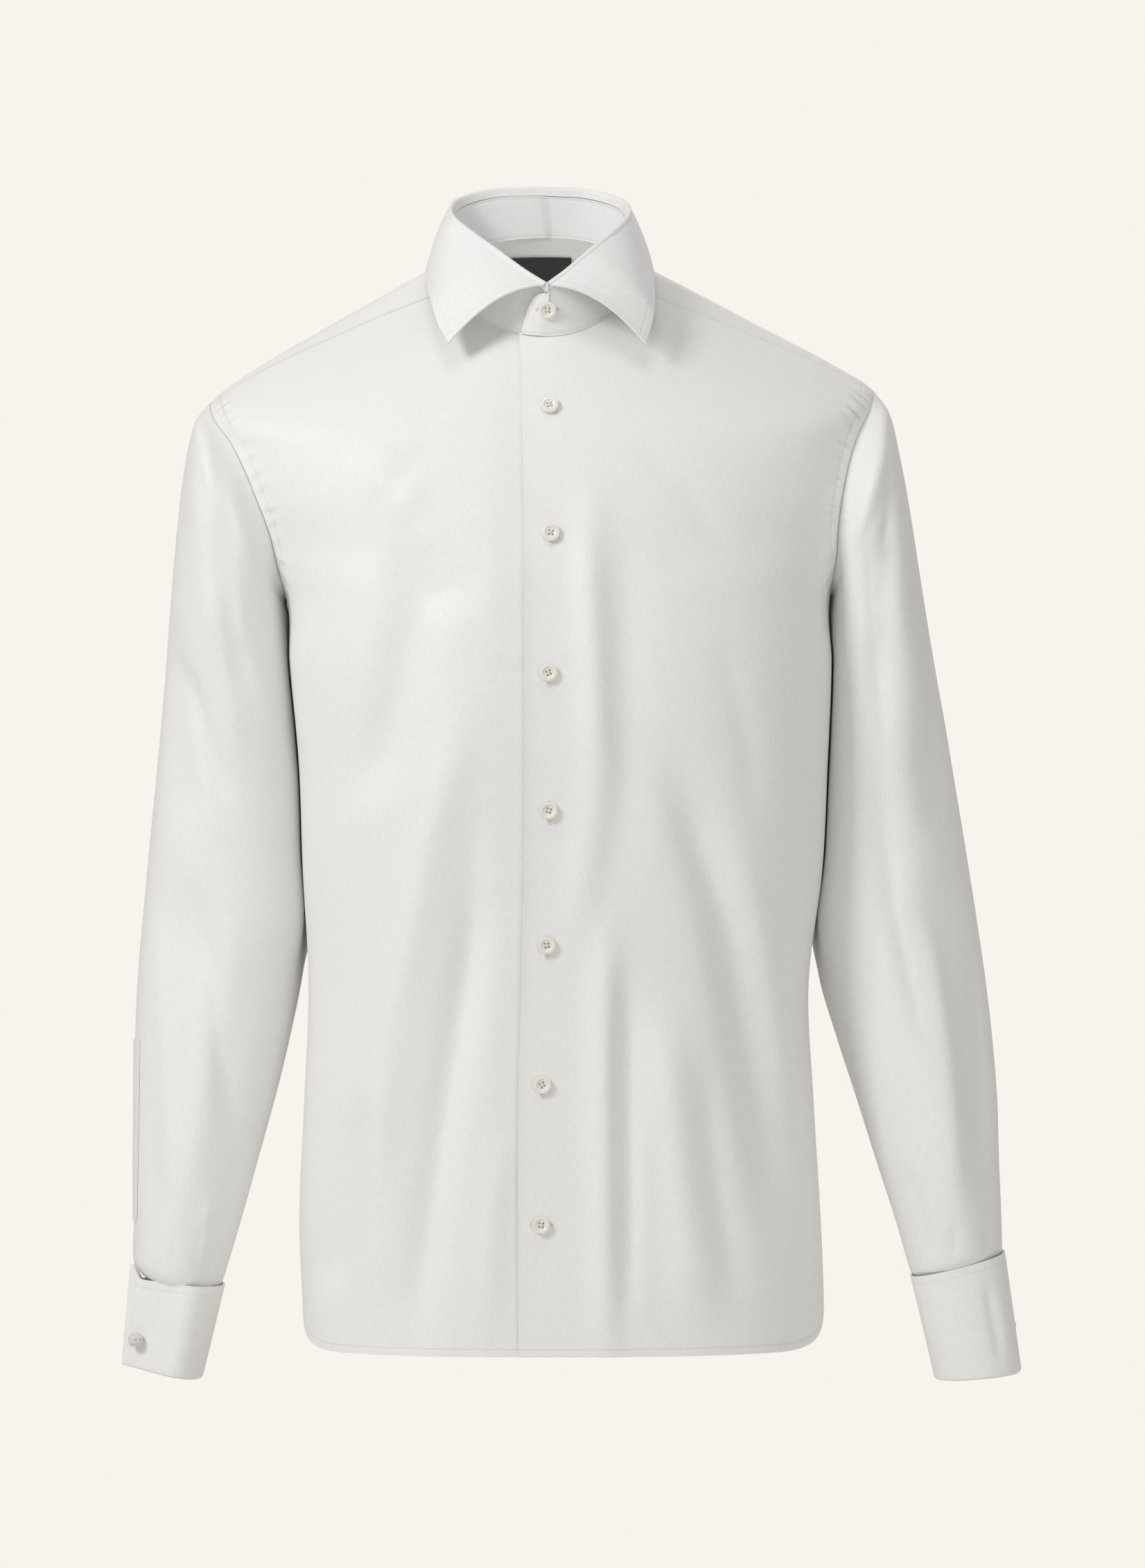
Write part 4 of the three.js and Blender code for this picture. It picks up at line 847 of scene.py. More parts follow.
def cuff_piece(name, sizes):
    side, mid_x, mid_y, low_x, narrow, top, bottom, tip = sizes
    plan = cuff_plan(side, 110)
    rise = tip * smooth((side * plan[:, 0] - 28) / 7)
    outward = unit(np.column_stack([np.gradient(plan[:, 1]), -np.gradient(plan[:, 0])]))
    outward *= np.sign((outward * (plan - plan.mean(0))).sum())
    radius = CUFF_LAYER / 2

    def row(out, share, drop):
        x = mix(mid_x, low_x, share) + plan[:, 0] * (1 - narrow * share) + outward[:, 0] * out
        y = mid_y + plan[:, 1] + outward[:, 1] * out
        high, low = top[1] + (x - top[0]) * top[2] + rise, bottom[1] + (x - bottom[0]) * bottom[2]
        return np.column_stack([x, y, mix(high, low, share) + drop])

    inner = CLOTH / 2
    rows = [row(inner, t, -5.3 * (1 - t) + radius * t) for t in np.linspace(0, 1, 22)]
    for angle in np.linspace(0, math.pi, 9)[1:-1]:
        rows.append(row(inner + radius * (1 - math.cos(angle)), 1, radius * (1 - math.sin(angle))))
    rows += [row(inner + CUFF_LAYER, t, radius * t) for t in np.linspace(1, 0, 24)]
    grid = np.array(rows)
    where = "cuff_left" if side > 0 else "cuff_right"
    height = crease_height(where, grid.reshape(-1, 3), (grid[..., 1] < mid_y).ravel()).reshape(grid.shape[:2])
    grid[..., :2] += outward[None] * height[..., None]
    seams = {"top_edge": grid[-1], "end_a": grid[30:, 0], "end_b": grid[30:, -1], "fold": grid[26]}
    return cloth_piece(name, grid, seams=seams, thickness=1.3, offset=0.0)


cuff_right = cuff_piece("cloth_cuff_right", CUFF_RIGHT)
cuff_left = cuff_piece("cloth_cuff_left", CUFF_LEFT)


# %% The strip beside each sleeve's slit, laid on the sleeve's own surface
# The angles round the sleeve that the strip lies between, for the right arm and the left
PLACKET_ANGLES = {-1: (0.858 * math.pi, YOKE_FRONT_ANGLE), 1: (YOKE_BACK_ANGLE, 1.3229 * math.pi)}


def placket_piece(name, side):
    first, last = PLACKET_ANGLES[side]
    grid = sleeve_surface(side, np.linspace(11, 14, 50), np.linspace(first, last, 9))
    normal = sleeve_normals(grid, ringed=False)
    sleeve_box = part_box("sleeve_left" if side > 0 else "sleeve_right")
    middle = np.array([(low + high) / 2 for low, high in zip(*sleeve_box)])
    normal *= np.sign((normal * (grid - middle / MM)).sum())
    grid = grid + normal * 1.0
    seams = {"edge_a": grid[:, 0], "edge_b": grid[:, -1]}
    return cloth_piece(name, grid, seams=seams, thickness=0.7, facing=normal.reshape(-1, 3).mean(0))


placket_right = placket_piece("cloth_placket_right", -1)
placket_left = placket_piece("cloth_placket_left", 1)

# %% [markdown]
# ## The label
# A woven label is a piece of satin ribbon with its ends folded under. Here it is one flat piece, and it stays
# bare.


# %% The label, inside the back of the yoke
def label_piece():
    level = np.linspace(-92, -50, 22)
    across = np.linspace(-31, 16, 26)
    total = np.array([ring_length(v, 1) for v in level])
    side = np.where(across < 0, -1.0, 1.0)[None, :] + 0 * level[:, None]
    share = 2 - np.abs(across)[None, :] / total[:, None]
    rows = level[:, None] + 0 * across[None, :]
    point, _ = body_point(side.ravel(), share.ravel(), rows.ravel(), lift=-2.1)
    grid = point.reshape(side.shape + (3,))
    return cloth_piece("label_ribbon", grid, thickness=0.8, facing=np.array([0, -1.0, 0]))


label = label_piece()

# %% [markdown]
# ## Buttons
# A shirt button is turned from shell or polyester: a disc with a raised rim, a dished middle and four holes.
# One is modelled, and each of the others is a copy turned to face out of the cloth where the solid has it.


# %% Model one button: a cylinder, inset and pressed in, with four holes cut through
def deselect():
    bpy.ops.object.select_all(action="DESELECT")


def button_model():
    deselect()
    bpy.ops.mesh.primitive_cylinder_add(vertices=48, radius=5.9 * MM, depth=2.6 * MM)
    button = bpy.context.object
    bpy.ops.object.mode_set(mode="EDIT")
    bpy.ops.mesh.select_all(action="DESELECT")
    bpy.ops.object.mode_set(mode="OBJECT")
    for face in button.data.polygons:
        face.select = face.normal.z > 0.9
    bpy.ops.object.mode_set(mode="EDIT")
    bpy.ops.mesh.select_mode(type="FACE")
    for inset, sink in ((0.5, 0.0), (0.55, 0.22), (0.7, 0.0), (0.5, -0.42), (0.55, -0.42), (0.35, -0.06)):
        bpy.ops.mesh.inset(thickness=inset * MM, depth=sink * MM)
    bpy.ops.object.mode_set(mode="OBJECT")
    bpy.ops.object.mode_set(mode="EDIT")
    bpy.ops.mesh.select_all(action="DESELECT")
    bpy.ops.object.mode_set(mode="OBJECT")
    for x in (-1, 1):
        for y in (-1, 1):
            deselect()
            bpy.ops.mesh.primitive_cylinder_add(vertices=16, radius=0.72 * MM, depth=8 * MM,
                                                location=(1.15 * x * MM, 1.15 * y * MM, 0))
            drill = bpy.context.object
            cut = button.modifiers.new("hole", "BOOLEAN")
            cut.operation, cut.object, cut.solver = "DIFFERENCE", drill, "EXACT"
            deselect()
            button.select_set(True)
            bpy.context.view_layer.objects.active = button
            bpy.ops.object.modifier_apply(modifier=cut.name)
            bpy.data.objects.remove(drill)
    bevel = button.modifiers.new("softened edges", "BEVEL")
    bevel.width, bevel.segments, bevel.limit_method = 0.28 * MM, 3, "ANGLE"
    bevel.angle_limit = math.radians(50)
    finish_piece(button, 35)
    return button


def thread_model():
    """Two crossed stitches of thread through the holes, and the wound shank under the button."""
    deselect()
    made = []
    for turn, high in ((45, 0.62), (-45, 0.86)):
        lying = (math.pi / 2, 0, math.radians(turn))
        bpy.ops.mesh.primitive_cylinder_add(vertices=10, radius=0.34 * MM, depth=3.3 * MM,
                                            location=(0, 0, high * MM), rotation=lying)
        strand = bpy.context.object
        bevel = strand.modifiers.new("round ends", "BEVEL")
        bevel.width, bevel.segments = 0.2 * MM, 2
        made.append(strand)
    bpy.ops.mesh.primitive_cylinder_add(vertices=16, radius=1.3 * MM, depth=1.4 * MM,
                                        location=(0, 0, -1.6 * MM))
    made.append(bpy.context.object)
    for item in made:
        finish_piece(item, 35)
    for item in made:
        item.select_set(True)
    bpy.context.view_layer.objects.active = made[0]
    bpy.ops.object.join()
    bpy.ops.object.transform_apply(location=True, rotation=True, scale=True)
    return bpy.context.object


button_first, thread_first = button_model(), thread_model()
print("one button has", len(button_first.data.polygons), "faces")


# %% Copy the button onto each of its places
def placed_copy(model, name, matrix):
    copy = model.copy()
    copy.data = model.data.copy()
    copy.name = copy.data.name = name
    bpy.context.scene.collection.objects.link(copy)
    copy.data.transform(matrix)
    copy.data.update()
    pieces[name] = copy
    return copy


def front_place(x, z):
    """Point and normal of the top front at a place seen from the front, found by stepping towards it."""
    share, level = 0.02, z
    for _ in range(30):
        point, normal = body_point(1.0, np.array([share]), np.array([level]))
        share, level = share + (x - point[0, 0]) / 200, level + z - point[0, 2]
    return point[0], normal[0]


def facing_matrix(point, normal, turn=0.0):
    """A place in millimetres whose own z is the normal, and whose own y points up the cloth."""
    normal = Vector(normal)
    across = Vector((0, 0, 1)).cross(normal).normalized()
    up = normal.cross(across)
    basis = Matrix((across, up, normal)).transposed().to_4x4()
    return Matrix.Translation(Vector(point) * MM) @ basis @ Matrix.Rotation(turn, 4, "Z")


# Columns: how far left of the origin, height
BUTTON_PLACES = [(8.4, -88.9), (9.5, -175.3), (9.5, -268.7), (9.5, -360.3),
                 (7.9, -450.2), (4.7, -543.3), (4.2, -636.7)]
BUTTON_STANDS = 2.0
button_spots = {}
for number, (x, z) in enumerate(BUTTON_PLACES, 1):
    button_spots[f"button_{number}"] = front_place(x, z)
one = np.array([0.0])
_, _, ring, rise, _, _, _ = collar_frame(np.array([1.0]), one)
collar_spot = ring[0] + rise[0] * (-21.8 - ring[0, 2]) / rise[0, 2]
button_spots["button_collar"] = (collar_spot, np.array([0, -rise[0, 2], rise[0, 1]]))
TURNS = {"button_1": 12, "button_2": -8, "button_3": 20, "button_4": -15,
         "button_5": 5, "button_6": 30, "button_7": -5}
for name, (point, normal) in button_spots.items():
    turn = math.radians(TURNS.get(name, 0))
    at = facing_matrix(np.array(point) + np.array(normal) * BUTTON_STANDS, normal, turn)
    placed_copy(button_first, "pearl_" + name, at)
    placed_copy(thread_first, "thread_" + name, at)
for model in (button_first, thread_first):
    bpy.data.objects.remove(model)
print("buttons placed:", len(button_spots))

# %% [markdown]
# ## Buttonholes
# A worked buttonhole is a slit with dense thread along both sides and a bar across each end.
# Only its two ends show past the button. It is a low ring of thread, laid on the cloth and turned with it.


# %% Model one buttonhole from a ring of thread and copy it behind each button
def buttonhole_model():
    deselect()
    bpy.ops.mesh.primitive_torus_add(major_segments=40, minor_segments=8,
                                     major_radius=1.0 * MM, minor_radius=0.55 * MM)
    ring = bpy.context.object
    for vertex in ring.data.vertices:
        x, y, z = vertex.co
        vertex.co = (x, y + math.copysign(6.6 * MM, y), z * 0.7)
    finish_piece(ring, 40)
    return ring


hole_first = buttonhole_model()
for name, (point, normal) in button_spots.items():
    level_turn = math.pi / 2 if name in ("button_collar", "button_7") else 0.0
    shift = np.array([0, 0, 0.0]) if name in ("button_collar", "button_7") else np.array([0, 0, -1.5])
    at = facing_matrix(np.array(point) + np.array(normal) * 0.12 + shift, normal, level_turn)
    placed_copy(hole_first, "hole_" + name, at)
bpy.data.objects.remove(hole_first)

# %% [markdown]
# ## Silk knots
# The links of this shirt are silk knots: elastic cord wound into a small ball on each side of the cuff.
# Three crossed bands of cord, two turns each, give the woven ball.


# %% Model one knot and copy it onto the four places
def knot_model():
    deselect()
    turns = []
    for rotation in ((0, 0, 0), (math.pi / 2, 0, 0.5), (0, math.pi / 2, 0.5)):
        for away in (-1.3, 1.3):
            radius = math.sqrt(4.05**2 - away**2)
            bpy.ops.mesh.primitive_torus_add(major_segments=36, minor_segments=10, major_radius=radius * MM,
                                             minor_radius=1.25 * MM, location=(0, 0, away * MM))
            turn = bpy.context.object
            bpy.ops.object.transform_apply(location=True, rotation=True, scale=True)
            turn.rotation_euler = rotation
            bpy.ops.object.transform_apply(location=True, rotation=True, scale=True)
            turns.append(turn)
            deselect()
    bpy.ops.mesh.primitive_ico_sphere_add(subdivisions=3, radius=3.8 * MM)
    turns.append(bpy.context.object)
    for turn in turns:
        turn.select_set(True)
    bpy.context.view_layer.objects.active = turns[0]
    bpy.ops.object.join()
    knot = bpy.context.object
    finish_piece(knot, 60)
    return knot


# The cloth cuffs hang a little further in than their solids, and each knot moves with them, in mm
KNOT_MOVES = {
    "link_right_a": (1.0, -0.5, 0.5), "link_right_b": (0.0, 0.5, 0.5),
    "link_left_a": (-8.4, -0.8, -0.5), "link_left_b": (-7.4, 4.6, -0.4),
}
knot_first = knot_model()
for name, move in KNOT_MOVES.items():
    low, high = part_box(name)
    middle = Matrix.Translation((low + high) / 2 + Vector(move) * MM)
    placed_copy(knot_first, "silk_" + name, middle @ Matrix.Rotation(0.4, 4, "Z"))
bpy.data.objects.remove(knot_first)

# %% [markdown]
# ## Materials
# The cloth is a fine cotton twill in optical white: matt, with a soft sheen where it turns away from the light.
# Its diagonal ribs are about 0.5 mm apart, drawn at 0.8 mm so that a picture of the whole shirt can show them.
# Stitches are 2.4 mm long, in a groove that the thread pulls into the cloth, with small puckers beside it.
# Their colour is painted a little darker, as painted shade of the groove.


# %% Helpers for materials
def linear(hex_colour):
    parts = [int(hex_colour[i:i + 2], 16) / 255 for i in (1, 3, 5)]
    return tuple(v / 12.92 if v <= 0.04045 else ((v + 0.055) / 1.055) ** 2.4 for v in parts) + (1.0,)


def new_material(name, colour, **sockets):
    material = bpy.data.materials.new(name)
    material.use_nodes = True
    shader = material.node_tree.nodes["Principled BSDF"]
    shader.inputs["Base Color"].default_value = linear(colour)
    for socket, value in sockets.items():
        shader.inputs[socket.replace("_", " ")].default_value = value
    return material, material.node_tree, shader


def add_node(tree, kind, settings=None, **links):
    """One node with its settings. links give its inputs by number: a node, a socket or a plain value."""
    node = tree.nodes.new(kind)
    for key, value in (settings or {}).items():
        setattr(node, key, value)
    for key, value in links.items():
        socket = node.inputs[int(key[1:])]
        if isinstance(value, bpy.types.Node):
            value = value.outputs[0]
        if isinstance(value, bpy.types.NodeSocket):
            tree.links.new(value, socket)
        else:
            socket.default_value = value
    return node


MATHS = "ShaderNodeMath"
PLUS, MINUS, TIMES, OVER = ({"operation": name} for name in ("ADD", "SUBTRACT", "MULTIPLY", "DIVIDE"))
LARGER, SIZE_OF, REST_OF, SINE = ({"operation": name} for name in ("MAXIMUM", "ABSOLUTE", "FRACT", "SINE"))
SOFT_STEP = {"interpolation_type": "SMOOTHSTEP"}


def band(tree, value, middle, half, soft):
    """1 where value is within half of middle, falling to 0 over soft."""
    away = add_node(tree, MATHS, SIZE_OF, i0=add_node(tree, MATHS, MINUS, i0=value, i1=middle))
    return add_node(tree, "ShaderNodeMapRange", SOFT_STEP, i0=away, i1=half, i2=half + soft, i3=1.0, i4=0.0)


# %% The white cotton twill, with the rows of stitches that each piece has
PUCKER_STEP = 11.5


def sewn_edge(tree, uv_map, stitch_at, hem_to, pucker, pull):
    """Height in metres and thread mask of one sewn edge: a turned-in layer, a groove, stitches and puckers. The
    mask also places the stitches' painted shade.
    """
    uv = add_node(tree, "ShaderNodeUVMap", {"uv_map": uv_map})
    split = add_node(tree, "ShaderNodeSeparateXYZ", i0=uv)
    along, away = split.outputs[0], split.outputs[1]
    line = band(tree, away, stitch_at * MM, 0.16 * MM, 0.22 * MM)
    groove = band(tree, away, stitch_at * MM, 0.2 * MM, 1.1 * MM)
    stitch = add_node(tree, MATHS, REST_OF, i0=add_node(tree, MATHS, OVER, i0=along, i1=2.4 * MM))
    thread = add_node(tree, MATHS, TIMES, i0=line, i1=band(tree, stitch, 0.5, 0.3, 0.12))
    deep = add_node(tree, MATHS, TIMES, i0=groove, i1=-pull * MM)
    proud = add_node(tree, MATHS, TIMES, i0=thread, i1=0.5 * pull * MM)
    height = add_node(tree, MATHS, PLUS, i0=deep, i1=proud)
    if hem_to:
        edge = hem_to * MM
        turned = add_node(tree, "ShaderNodeMapRange", SOFT_STEP,
                          i0=away, i1=edge, i2=edge + 0.5 * MM, i3=0.35 * MM, i4=0.0)
        height = add_node(tree, MATHS, PLUS, i0=height, i1=turned)
    if pucker:
        stretched = add_node(tree, MATHS, TIMES, i0=away, i1=0.22)
        place = add_node(tree, "ShaderNodeCombineXYZ", i0=along, i1=stretched)
        noise = add_node(tree, "ShaderNodeTexNoise", {"noise_dimensions": "2D"}, i0=place, i2=60.0, i3=1.0)
        turn = add_node(tree, MATHS, TIMES, i0=noise, i1=6.0)
        waves = add_node(tree, MATHS, TIMES, i0=along, i1=2 * math.pi / (PUCKER_STEP * MM))
        turn = add_node(tree, MATHS, PLUS, i0=turn, i1=waves)
        ripple = add_node(tree, MATHS, SINE, i0=turn)
        ripple = add_node(tree, MATHS, TIMES, i0=ripple, i1=pucker * MM)
        near = band(tree, away, stitch_at * MM, 1.5 * MM, 9.5 * MM)
        ripple = add_node(tree, MATHS, TIMES, i0=ripple, i1=near)
        height = add_node(tree, MATHS, PLUS, i0=height, i1=ripple)
    return height, thread


def cotton(name, edges, colour="#f7f7f5"):
    """edges: rows of UV map, distance of the stitches, width of the turned-in layer, puckers, pull, in mm."""
    material, tree, shader = new_material(name, colour, Roughness=0.54, Sheen_Weight=0.12, Sheen_Roughness=0.35)
    shader.inputs["Specular IOR Level"].default_value = 0.4
    uv = add_node(tree, "ShaderNodeUVMap", {"uv_map": "weave"})
    split = add_node(tree, "ShaderNodeSeparateXYZ", i0=uv)
    slant = add_node(tree, MATHS, TIMES, i0=split.outputs[0], i1=1.6)
    slant = add_node(tree, MATHS, PLUS, i0=split.outputs[1], i1=slant)
    rib = add_node(tree, MATHS, SINE, i0=add_node(tree, MATHS, TIMES, i0=slant, i1=2 * math.pi / (0.8 * MM)))
    slub_place = add_node(tree, "ShaderNodeMapping", i0=uv, i3=(900, 160, 1))
    slub = add_node(tree, "ShaderNodeTexNoise", {"noise_dimensions": "2D"}, i0=slub_place, i2=1.0, i3=2.0)
    soft = add_node(tree, "ShaderNodeTexNoise", {"noise_dimensions": "2D"}, i0=uv, i2=28.0, i3=3.0)
    height = add_node(tree, MATHS, TIMES, i0=rib, i1=0.008 * MM)
    for layer, deep in ((slub, 0.02), (soft, 0.55)):
        layer = add_node(tree, MATHS, TIMES, i0=layer, i1=deep * MM)
        height = add_node(tree, MATHS, PLUS, i0=height, i1=layer)
    threads = None
    for edge in edges:
        more, thread = sewn_edge(tree, *edge)
        height = add_node(tree, MATHS, PLUS, i0=height, i1=more)
        threads = add_node(tree, MATHS, LARGER, i0=threads, i1=thread) if threads else thread
    shade = add_node(tree, "ShaderNodeMapRange", i0=slub, i1=0.2, i2=0.8, i3=0.0, i4=1.0)
    settings = {"data_type": "RGBA"}
    mixed = add_node(tree, "ShaderNodeMix", settings, i0=shade, i6=linear(colour), i7=linear("#f0f0ee"))
    result = mixed.outputs[2]
    # Where the stitches lie, the white is mixed a little towards grey: painted shade of the stitch groove, not
    # the thread's own colour.
    if threads:
        share = add_node(tree, MATHS, TIMES, i0=threads, i1=0.35)
        result = add_node(tree, "ShaderNodeMix", settings, i0=share, i6=result, i7=linear("#dfdfdb")).outputs[2]
    tree.links.new(result, shader.inputs["Base Color"])
    bump = add_node(tree, "ShaderNodeBump", i0=1.0, i1=1.0)
    tree.links.new(height.outputs[0], bump.inputs["Height"])
    tree.links.new(bump.outputs[0], shader.inputs["Normal"])
    return material


def finish_with(piece, material):
    piece.data.materials.clear()
    piece.data.materials.append(material)


hem_edge = ("hem", 5.0, 5.6, 0.05, 0.3)
for front, puckers in ((front_left, 0.75), (front_right, 0.4)):
    front_edges = [hem_edge, ("armhole", 9.5, 10.0, puckers, 0.32), ("side_seam", 1.5, 0, 0.06, 0.25)]
    finish_with(front, cotton("white_cotton_twill_" + front.name[6:], front_edges))
back_edges = [hem_edge, ("armhole", 9.5, 10.0, 0.4, 0.32)]
finish_with(back, cotton("white_cotton_twill_back", back_edges))
yoke_edges = [("front_seam", 1.6, 0, 0.1, 0.28), ("front_seam_left", 1.6, 0, 0.1, 0.28),
              ("back_seam", 1.6, 0, 0.06, 0.28), ("armhole", 9.5, 10.0, 0.2, 0.32),
              ("armhole_left", 9.5, 10.0, 0.3, 0.32)]
finish_with(yoke, cotton("white_cotton_twill_yoke", yoke_edges))
for sleeve in (sleeve_left, sleeve_right):
    finish_with(sleeve, cotton("white_cotton_twill_" + sleeve.name[6:], [("armhole", 0.8, 0, 0.12, 0.12)]))
leaf_edges = [(edge, 5.5, 0, 0, 0.12) for edge in ("free_edge", "front_edge", "front_edge_left")]
finish_with(leaf, cotton("starched_white_cotton_leaf", leaf_edges, colour="#f9f9f8"))
stand_edges = [("neck_seam", 1.5, 0, 0.03, 0.2), ("top_edge", 1.8, 0, 0, 0.2), ("over_end", 1.8, 0, 0, 0.15)]
finish_with(stand, cotton("starched_white_cotton_stand", stand_edges, colour="#f8f7f7"))
cuff_edges = [(edge, 6.0, 0, 0, 0.14) for edge in ("top_edge", "end_a", "end_b")]
for cuff in (cuff_left, cuff_right):
    finish_with(cuff, cotton("starched_white_cotton_" + cuff.name[6:], cuff_edges))
strip_edges = [("edge_a", 1.5, 0, 0, 0.2), ("edge_b", 1.5, 0, 0, 0.2)]
for strip in (placket_left, placket_right):
    finish_with(strip, cotton("white_cotton_twill_" + strip.name[6:], strip_edges))


# %% Pearl buttons, cotton thread, silk cord and black satin ribbon
def pearl():
    """Polished shell-like polyester: glossy cream with faint cloudy layers."""
    material, tree, shader = new_material("polished_pearl_polyester", "#f0ecde", Roughness=0.18,
                                          Coat_Weight=0.35, Coat_Roughness=0.08, IOR=1.53)
    place = add_node(tree, "ShaderNodeTexCoord").outputs[3]
    cloud = add_node(tree, "ShaderNodeTexNoise", i0=place, i2=260.0, i3=3.0, i8=1.2)
    settings = {"data_type": "RGBA"}
    layers = add_node(tree, "ShaderNodeMix", settings, i0=cloud, i6=linear("#faf8f1"), i7=linear("#ece8da"))
    tree.links.new(layers.outputs[2], shader.inputs["Base Color"])
    return material


def wound_thread(name, colour, spacing):
    """Twisted cotton or silk: fine ridges across the strand."""
    material, tree, shader = new_material(name, colour, Roughness=0.7, Sheen_Weight=0.3)
    place = add_node(tree, "ShaderNodeTexCoord").outputs[3]
    turned = add_node(tree, "ShaderNodeMapping", i0=place, i2=(0.4, 0.6, 0.8))
    settings = {"wave_type": "BANDS", "bands_direction": "DIAGONAL"}
    wave = add_node(tree, "ShaderNodeTexWave", settings, i0=turned, i1=0.314 / (spacing * MM), i2=0.6)
    bump = add_node(tree, "ShaderNodeBump", i0=1.0, i1=0.12 * MM)
    tree.links.new(wave.outputs[1], bump.inputs["Height"])
    tree.links.new(bump.outputs[0], shader.inputs["Normal"])
    base = linear(colour)
    shaded = tuple(0.85 * v for v in base[:3]) + (1.0,)
    shades = add_node(tree, "ShaderNodeMix", {"data_type": "RGBA"}, i0=wave.outputs[1], i6=shaded, i7=base)
    tree.links.new(shades.outputs[2], shader.inputs["Base Color"])
    return material


def satin_ribbon():
    """Black woven satin: fine crosswise threads with a soft shine along them."""
    material, tree, shader = new_material("black_satin_ribbon", "#0e0e10", Roughness=0.45, Sheen_Weight=0.2)
    uv = add_node(tree, "ShaderNodeUVMap", {"uv_map": "weave"})
    split = add_node(tree, "ShaderNodeSeparateXYZ", i0=uv)
    rib = add_node(tree, MATHS, TIMES, i0=split.outputs[1], i1=2 * math.pi / (0.9 * MM))
    rib = add_node(tree, MATHS, SINE, i0=rib)
    shade = add_node(tree, "ShaderNodeMapRange", i0=rib, i1=-1.0, i2=1.0, i3=0.0, i4=1.0)
    settings = {"data_type": "RGBA"}
    mixed = add_node(tree, "ShaderNodeMix", settings, i0=shade, i6=linear("#0b0b0d"), i7=linear("#18181b"))
    tree.links.new(mixed.outputs[2], shader.inputs["Base Color"])
    bump = add_node(tree, "ShaderNodeBump", i0=0.6, i1=0.1 * MM)
    tree.links.new(rib.outputs[0], bump.inputs["Height"])
    tree.links.new(bump.outputs[0], shader.inputs["Normal"])
    return material


pearl_finish = pearl()
thread_finish = wound_thread("white_cotton_thread", "#f2f1ee", 0.5)
silk_finish = wound_thread("grey_silk_cord", "#eeebe9", 0.7)
for name, piece in pieces.items():
    if name.startswith("pearl_"):
        finish_with(piece, pearl_finish)
    elif name.startswith(("thread_", "hole_")):
        finish_with(piece, thread_finish)
    elif name.startswith("silk_"):
        finish_with(piece, silk_finish)
finish_with(label, satin_ribbon())
print("materials:", len(bpy.data.materials))

# %% [markdown]
# ## What rides on what
# Each piece names the solid that it stands for, which the second part of its own name gives.
# Cloth also gives its flat size, as cut and before it was sewn, of what shows of it, in metres.

# %% Solids that the pieces stand for
for name, piece in pieces.items():
    made_of, _, solid = name.partition("_")
    if made_of in ("cloth", "pearl", "silk"):
        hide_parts(solid)
    if made_of == "label":
        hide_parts("label")
    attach(piece, "root")

# %% Sheets of cloth
# Columns: flat width, flat length, area of the cut where it isn't a rectangle, the piece it rests on
SHEETS = {
    "cloth_front_left": (0.29, 0.74, 0.165, "front_right"),
    "cloth_front_right": (0.29, 0.74, 0.165, "front_left"),
    "cloth_back": (0.52, 0.66, 0.28, "yoke"),
    "cloth_yoke": (0.46, 0.21, 0.062, "back"),
    "cloth_sleeve_left": (0.46, 0.62, 0.215, "front_left"),
    "cloth_sleeve_right": (0.46, 0.62, 0.215, "front_right"),
    "cloth_placket_left": (0.018, 0.16, None, "sleeve_left"),
    "cloth_placket_right": (0.018, 0.16, None, "sleeve_right"),
    "cloth_cuff_left": (0.25, 0.14, None, "sleeve_left"),
    "cloth_cuff_right": (0.25, 0.14, None, "sleeve_right"),
    "cloth_collar_stand": (0.47, 0.045, 0.018, "yoke"),
    "cloth_collar_leaf": (0.47, 0.085, 0.03, "collar_stand"),
    "label_ribbon": (0.047, 0.045, None, "yoke"),
}


def shell_area(piece):
    return sum(face.area for face in piece.data.polygons) / 2


for name, (width, length, area, rests) in SHEETS.items():
    print(name, "area", round(shell_area(pieces[name]), 4), "of", round(area or width * length, 4))

# %% [markdown]
# ## Stage, light and camera
# The shirt was photographed against a warm white wall, with a broad soft light from the upper left in front.
# The wall is its own flat colour here, so that it stays even in every view.


# %% Floor and backdrop
def plain_finish(name, colour, glow):
    material, tree, shader = new_material(name, colour, Roughness=0.9)
    shader.inputs["Emission Color"].default_value = linear(colour)
    shader.inputs["Emission Strength"].default_value = glow
    return material


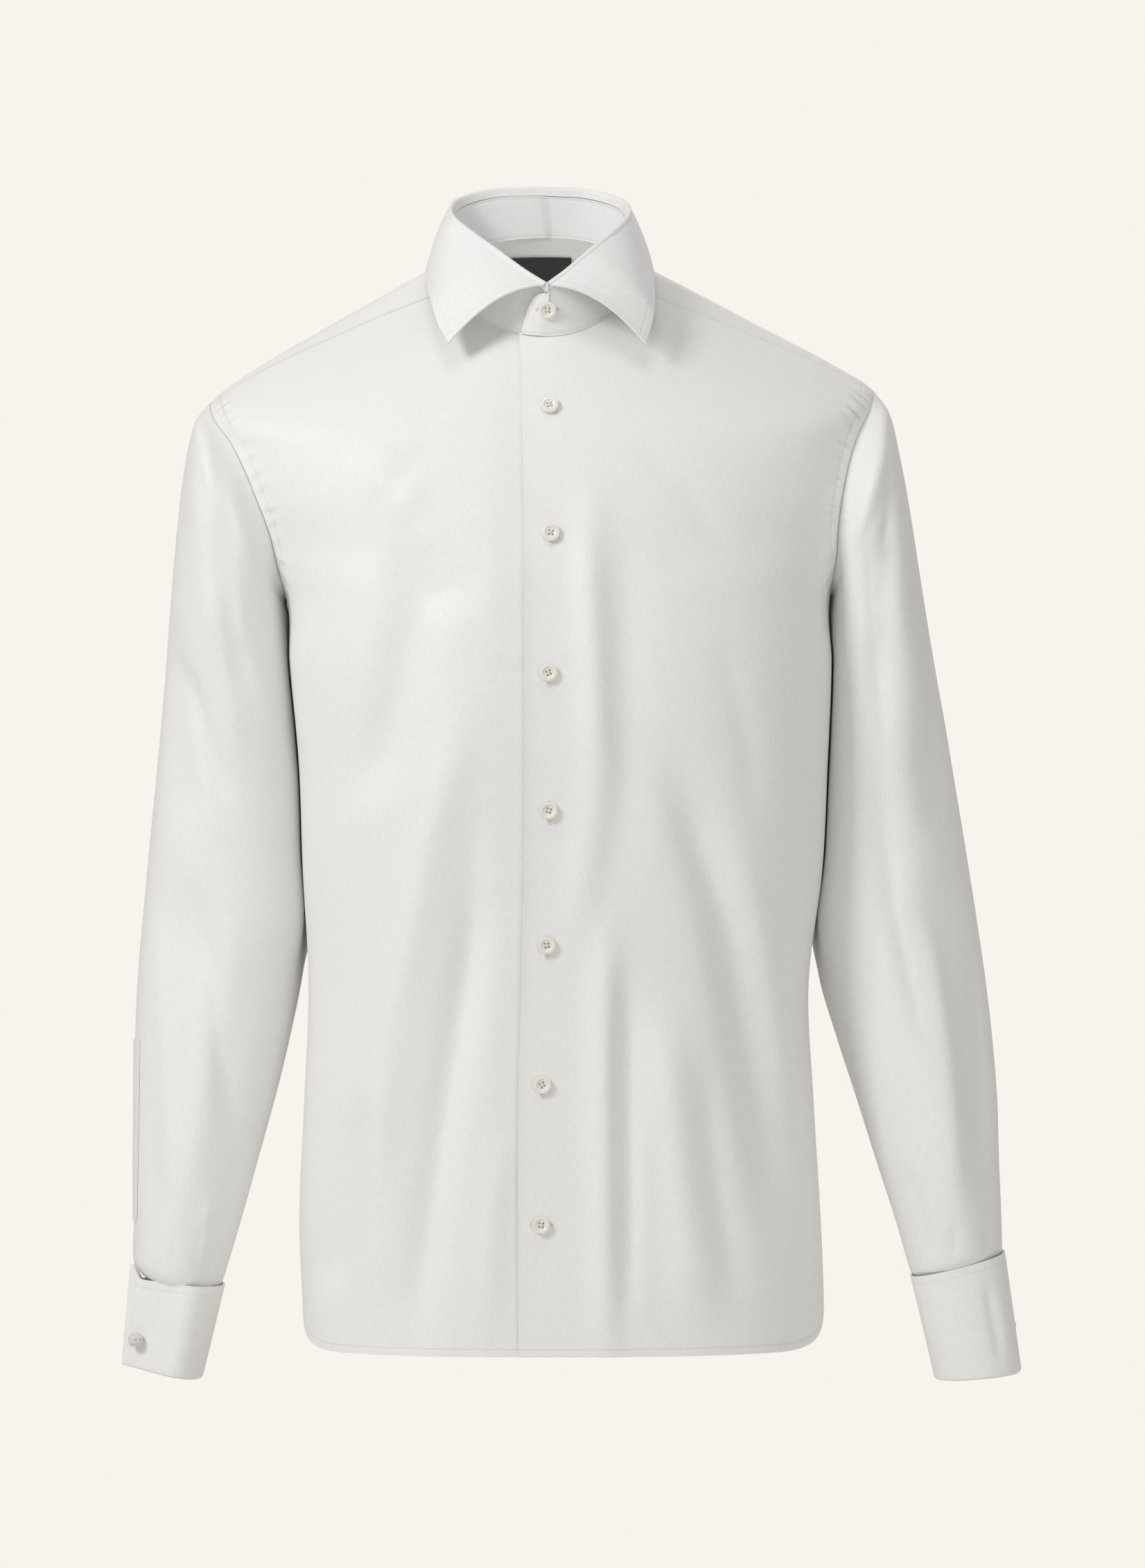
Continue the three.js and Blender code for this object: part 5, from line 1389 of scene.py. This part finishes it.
deselect()
bpy.ops.mesh.primitive_plane_add(size=5.2, location=(0, 0, -1.32))
floor = bpy.context.object
floor.name = "studio_floor"
finish_with(floor, plain_finish("pale_floor_paint", "#f3efe9", 0.0))

scene = bpy.context.scene
world = bpy.data.worlds.new("studio")
scene.world = world
world.use_nodes = True
tree = world.node_tree
tree.nodes.clear()
look = add_node(tree, "ShaderNodeLightPath").outputs[0]
seen = add_node(tree, "ShaderNodeBackground", i0=linear("#f8f3ed"), i1=1.0)
cast = add_node(tree, "ShaderNodeBackground", i0=linear("#f6f4f2"), i1=0.46)
chosen = add_node(tree, "ShaderNodeMixShader", i0=look, i1=cast.outputs[0], i2=seen.outputs[0])
out = add_node(tree, "ShaderNodeOutputWorld", i0=chosen.outputs[0])
scene.view_settings.view_transform = "Standard"


# %% Soft lights
def soft_light(name, place, aim, size, watts, colour="#ffffff"):
    data = bpy.data.lights.new(name, "AREA")
    data.shape, data.size, data.energy = "SQUARE", size, watts
    data.color = linear(colour)[:3]
    light = bpy.data.objects.new(name, data)
    scene.collection.objects.link(light)
    light.location = place
    light.visible_camera = False
    light.rotation_euler = (Vector(aim) - Vector(place)).to_track_quat("-Z", "Y").to_euler()
    return light


soft_light("key from the upper left", (-2.1, -1.9, 1.4), (0, 0, -0.3), 0.9, 44)
soft_light("fill from the right", (1.2, -3.6, 0.1), (0, 0, -0.35), 1.8, 4)
soft_light("glow through the cloth at the neck", (0, 0, -0.3), (0, 0.06, 0), 0.14, 0.14)
soft_light("light from above", (-0.1, -1.0, 2.0), (0, 0, -0.1), 0.8, 6)
soft_light("low light from the right", (2.2, -2.6, -0.9), (0.15, 0, -0.5), 1.4, 10)
soft_light("light from behind", (0.6, 2.2, 1.2), (0, 0, -0.3), 1.6, 10)

# %% Camera at the height of the waist, four metres away
camera_data = bpy.data.cameras.new("camera")
camera_data.lens = 133.7
camera_data.sensor_width = 36.0
camera_data.sensor_fit = "AUTO"
camera = bpy.data.objects.new("camera", camera_data)
scene.collection.objects.link(camera)
camera.location = (0.0238, -4.0, -0.3427)
camera.rotation_euler = (math.pi / 2, 0, 0)
scene.camera = camera

# %% Bring the scene up to date
bpy.context.view_layer.update()
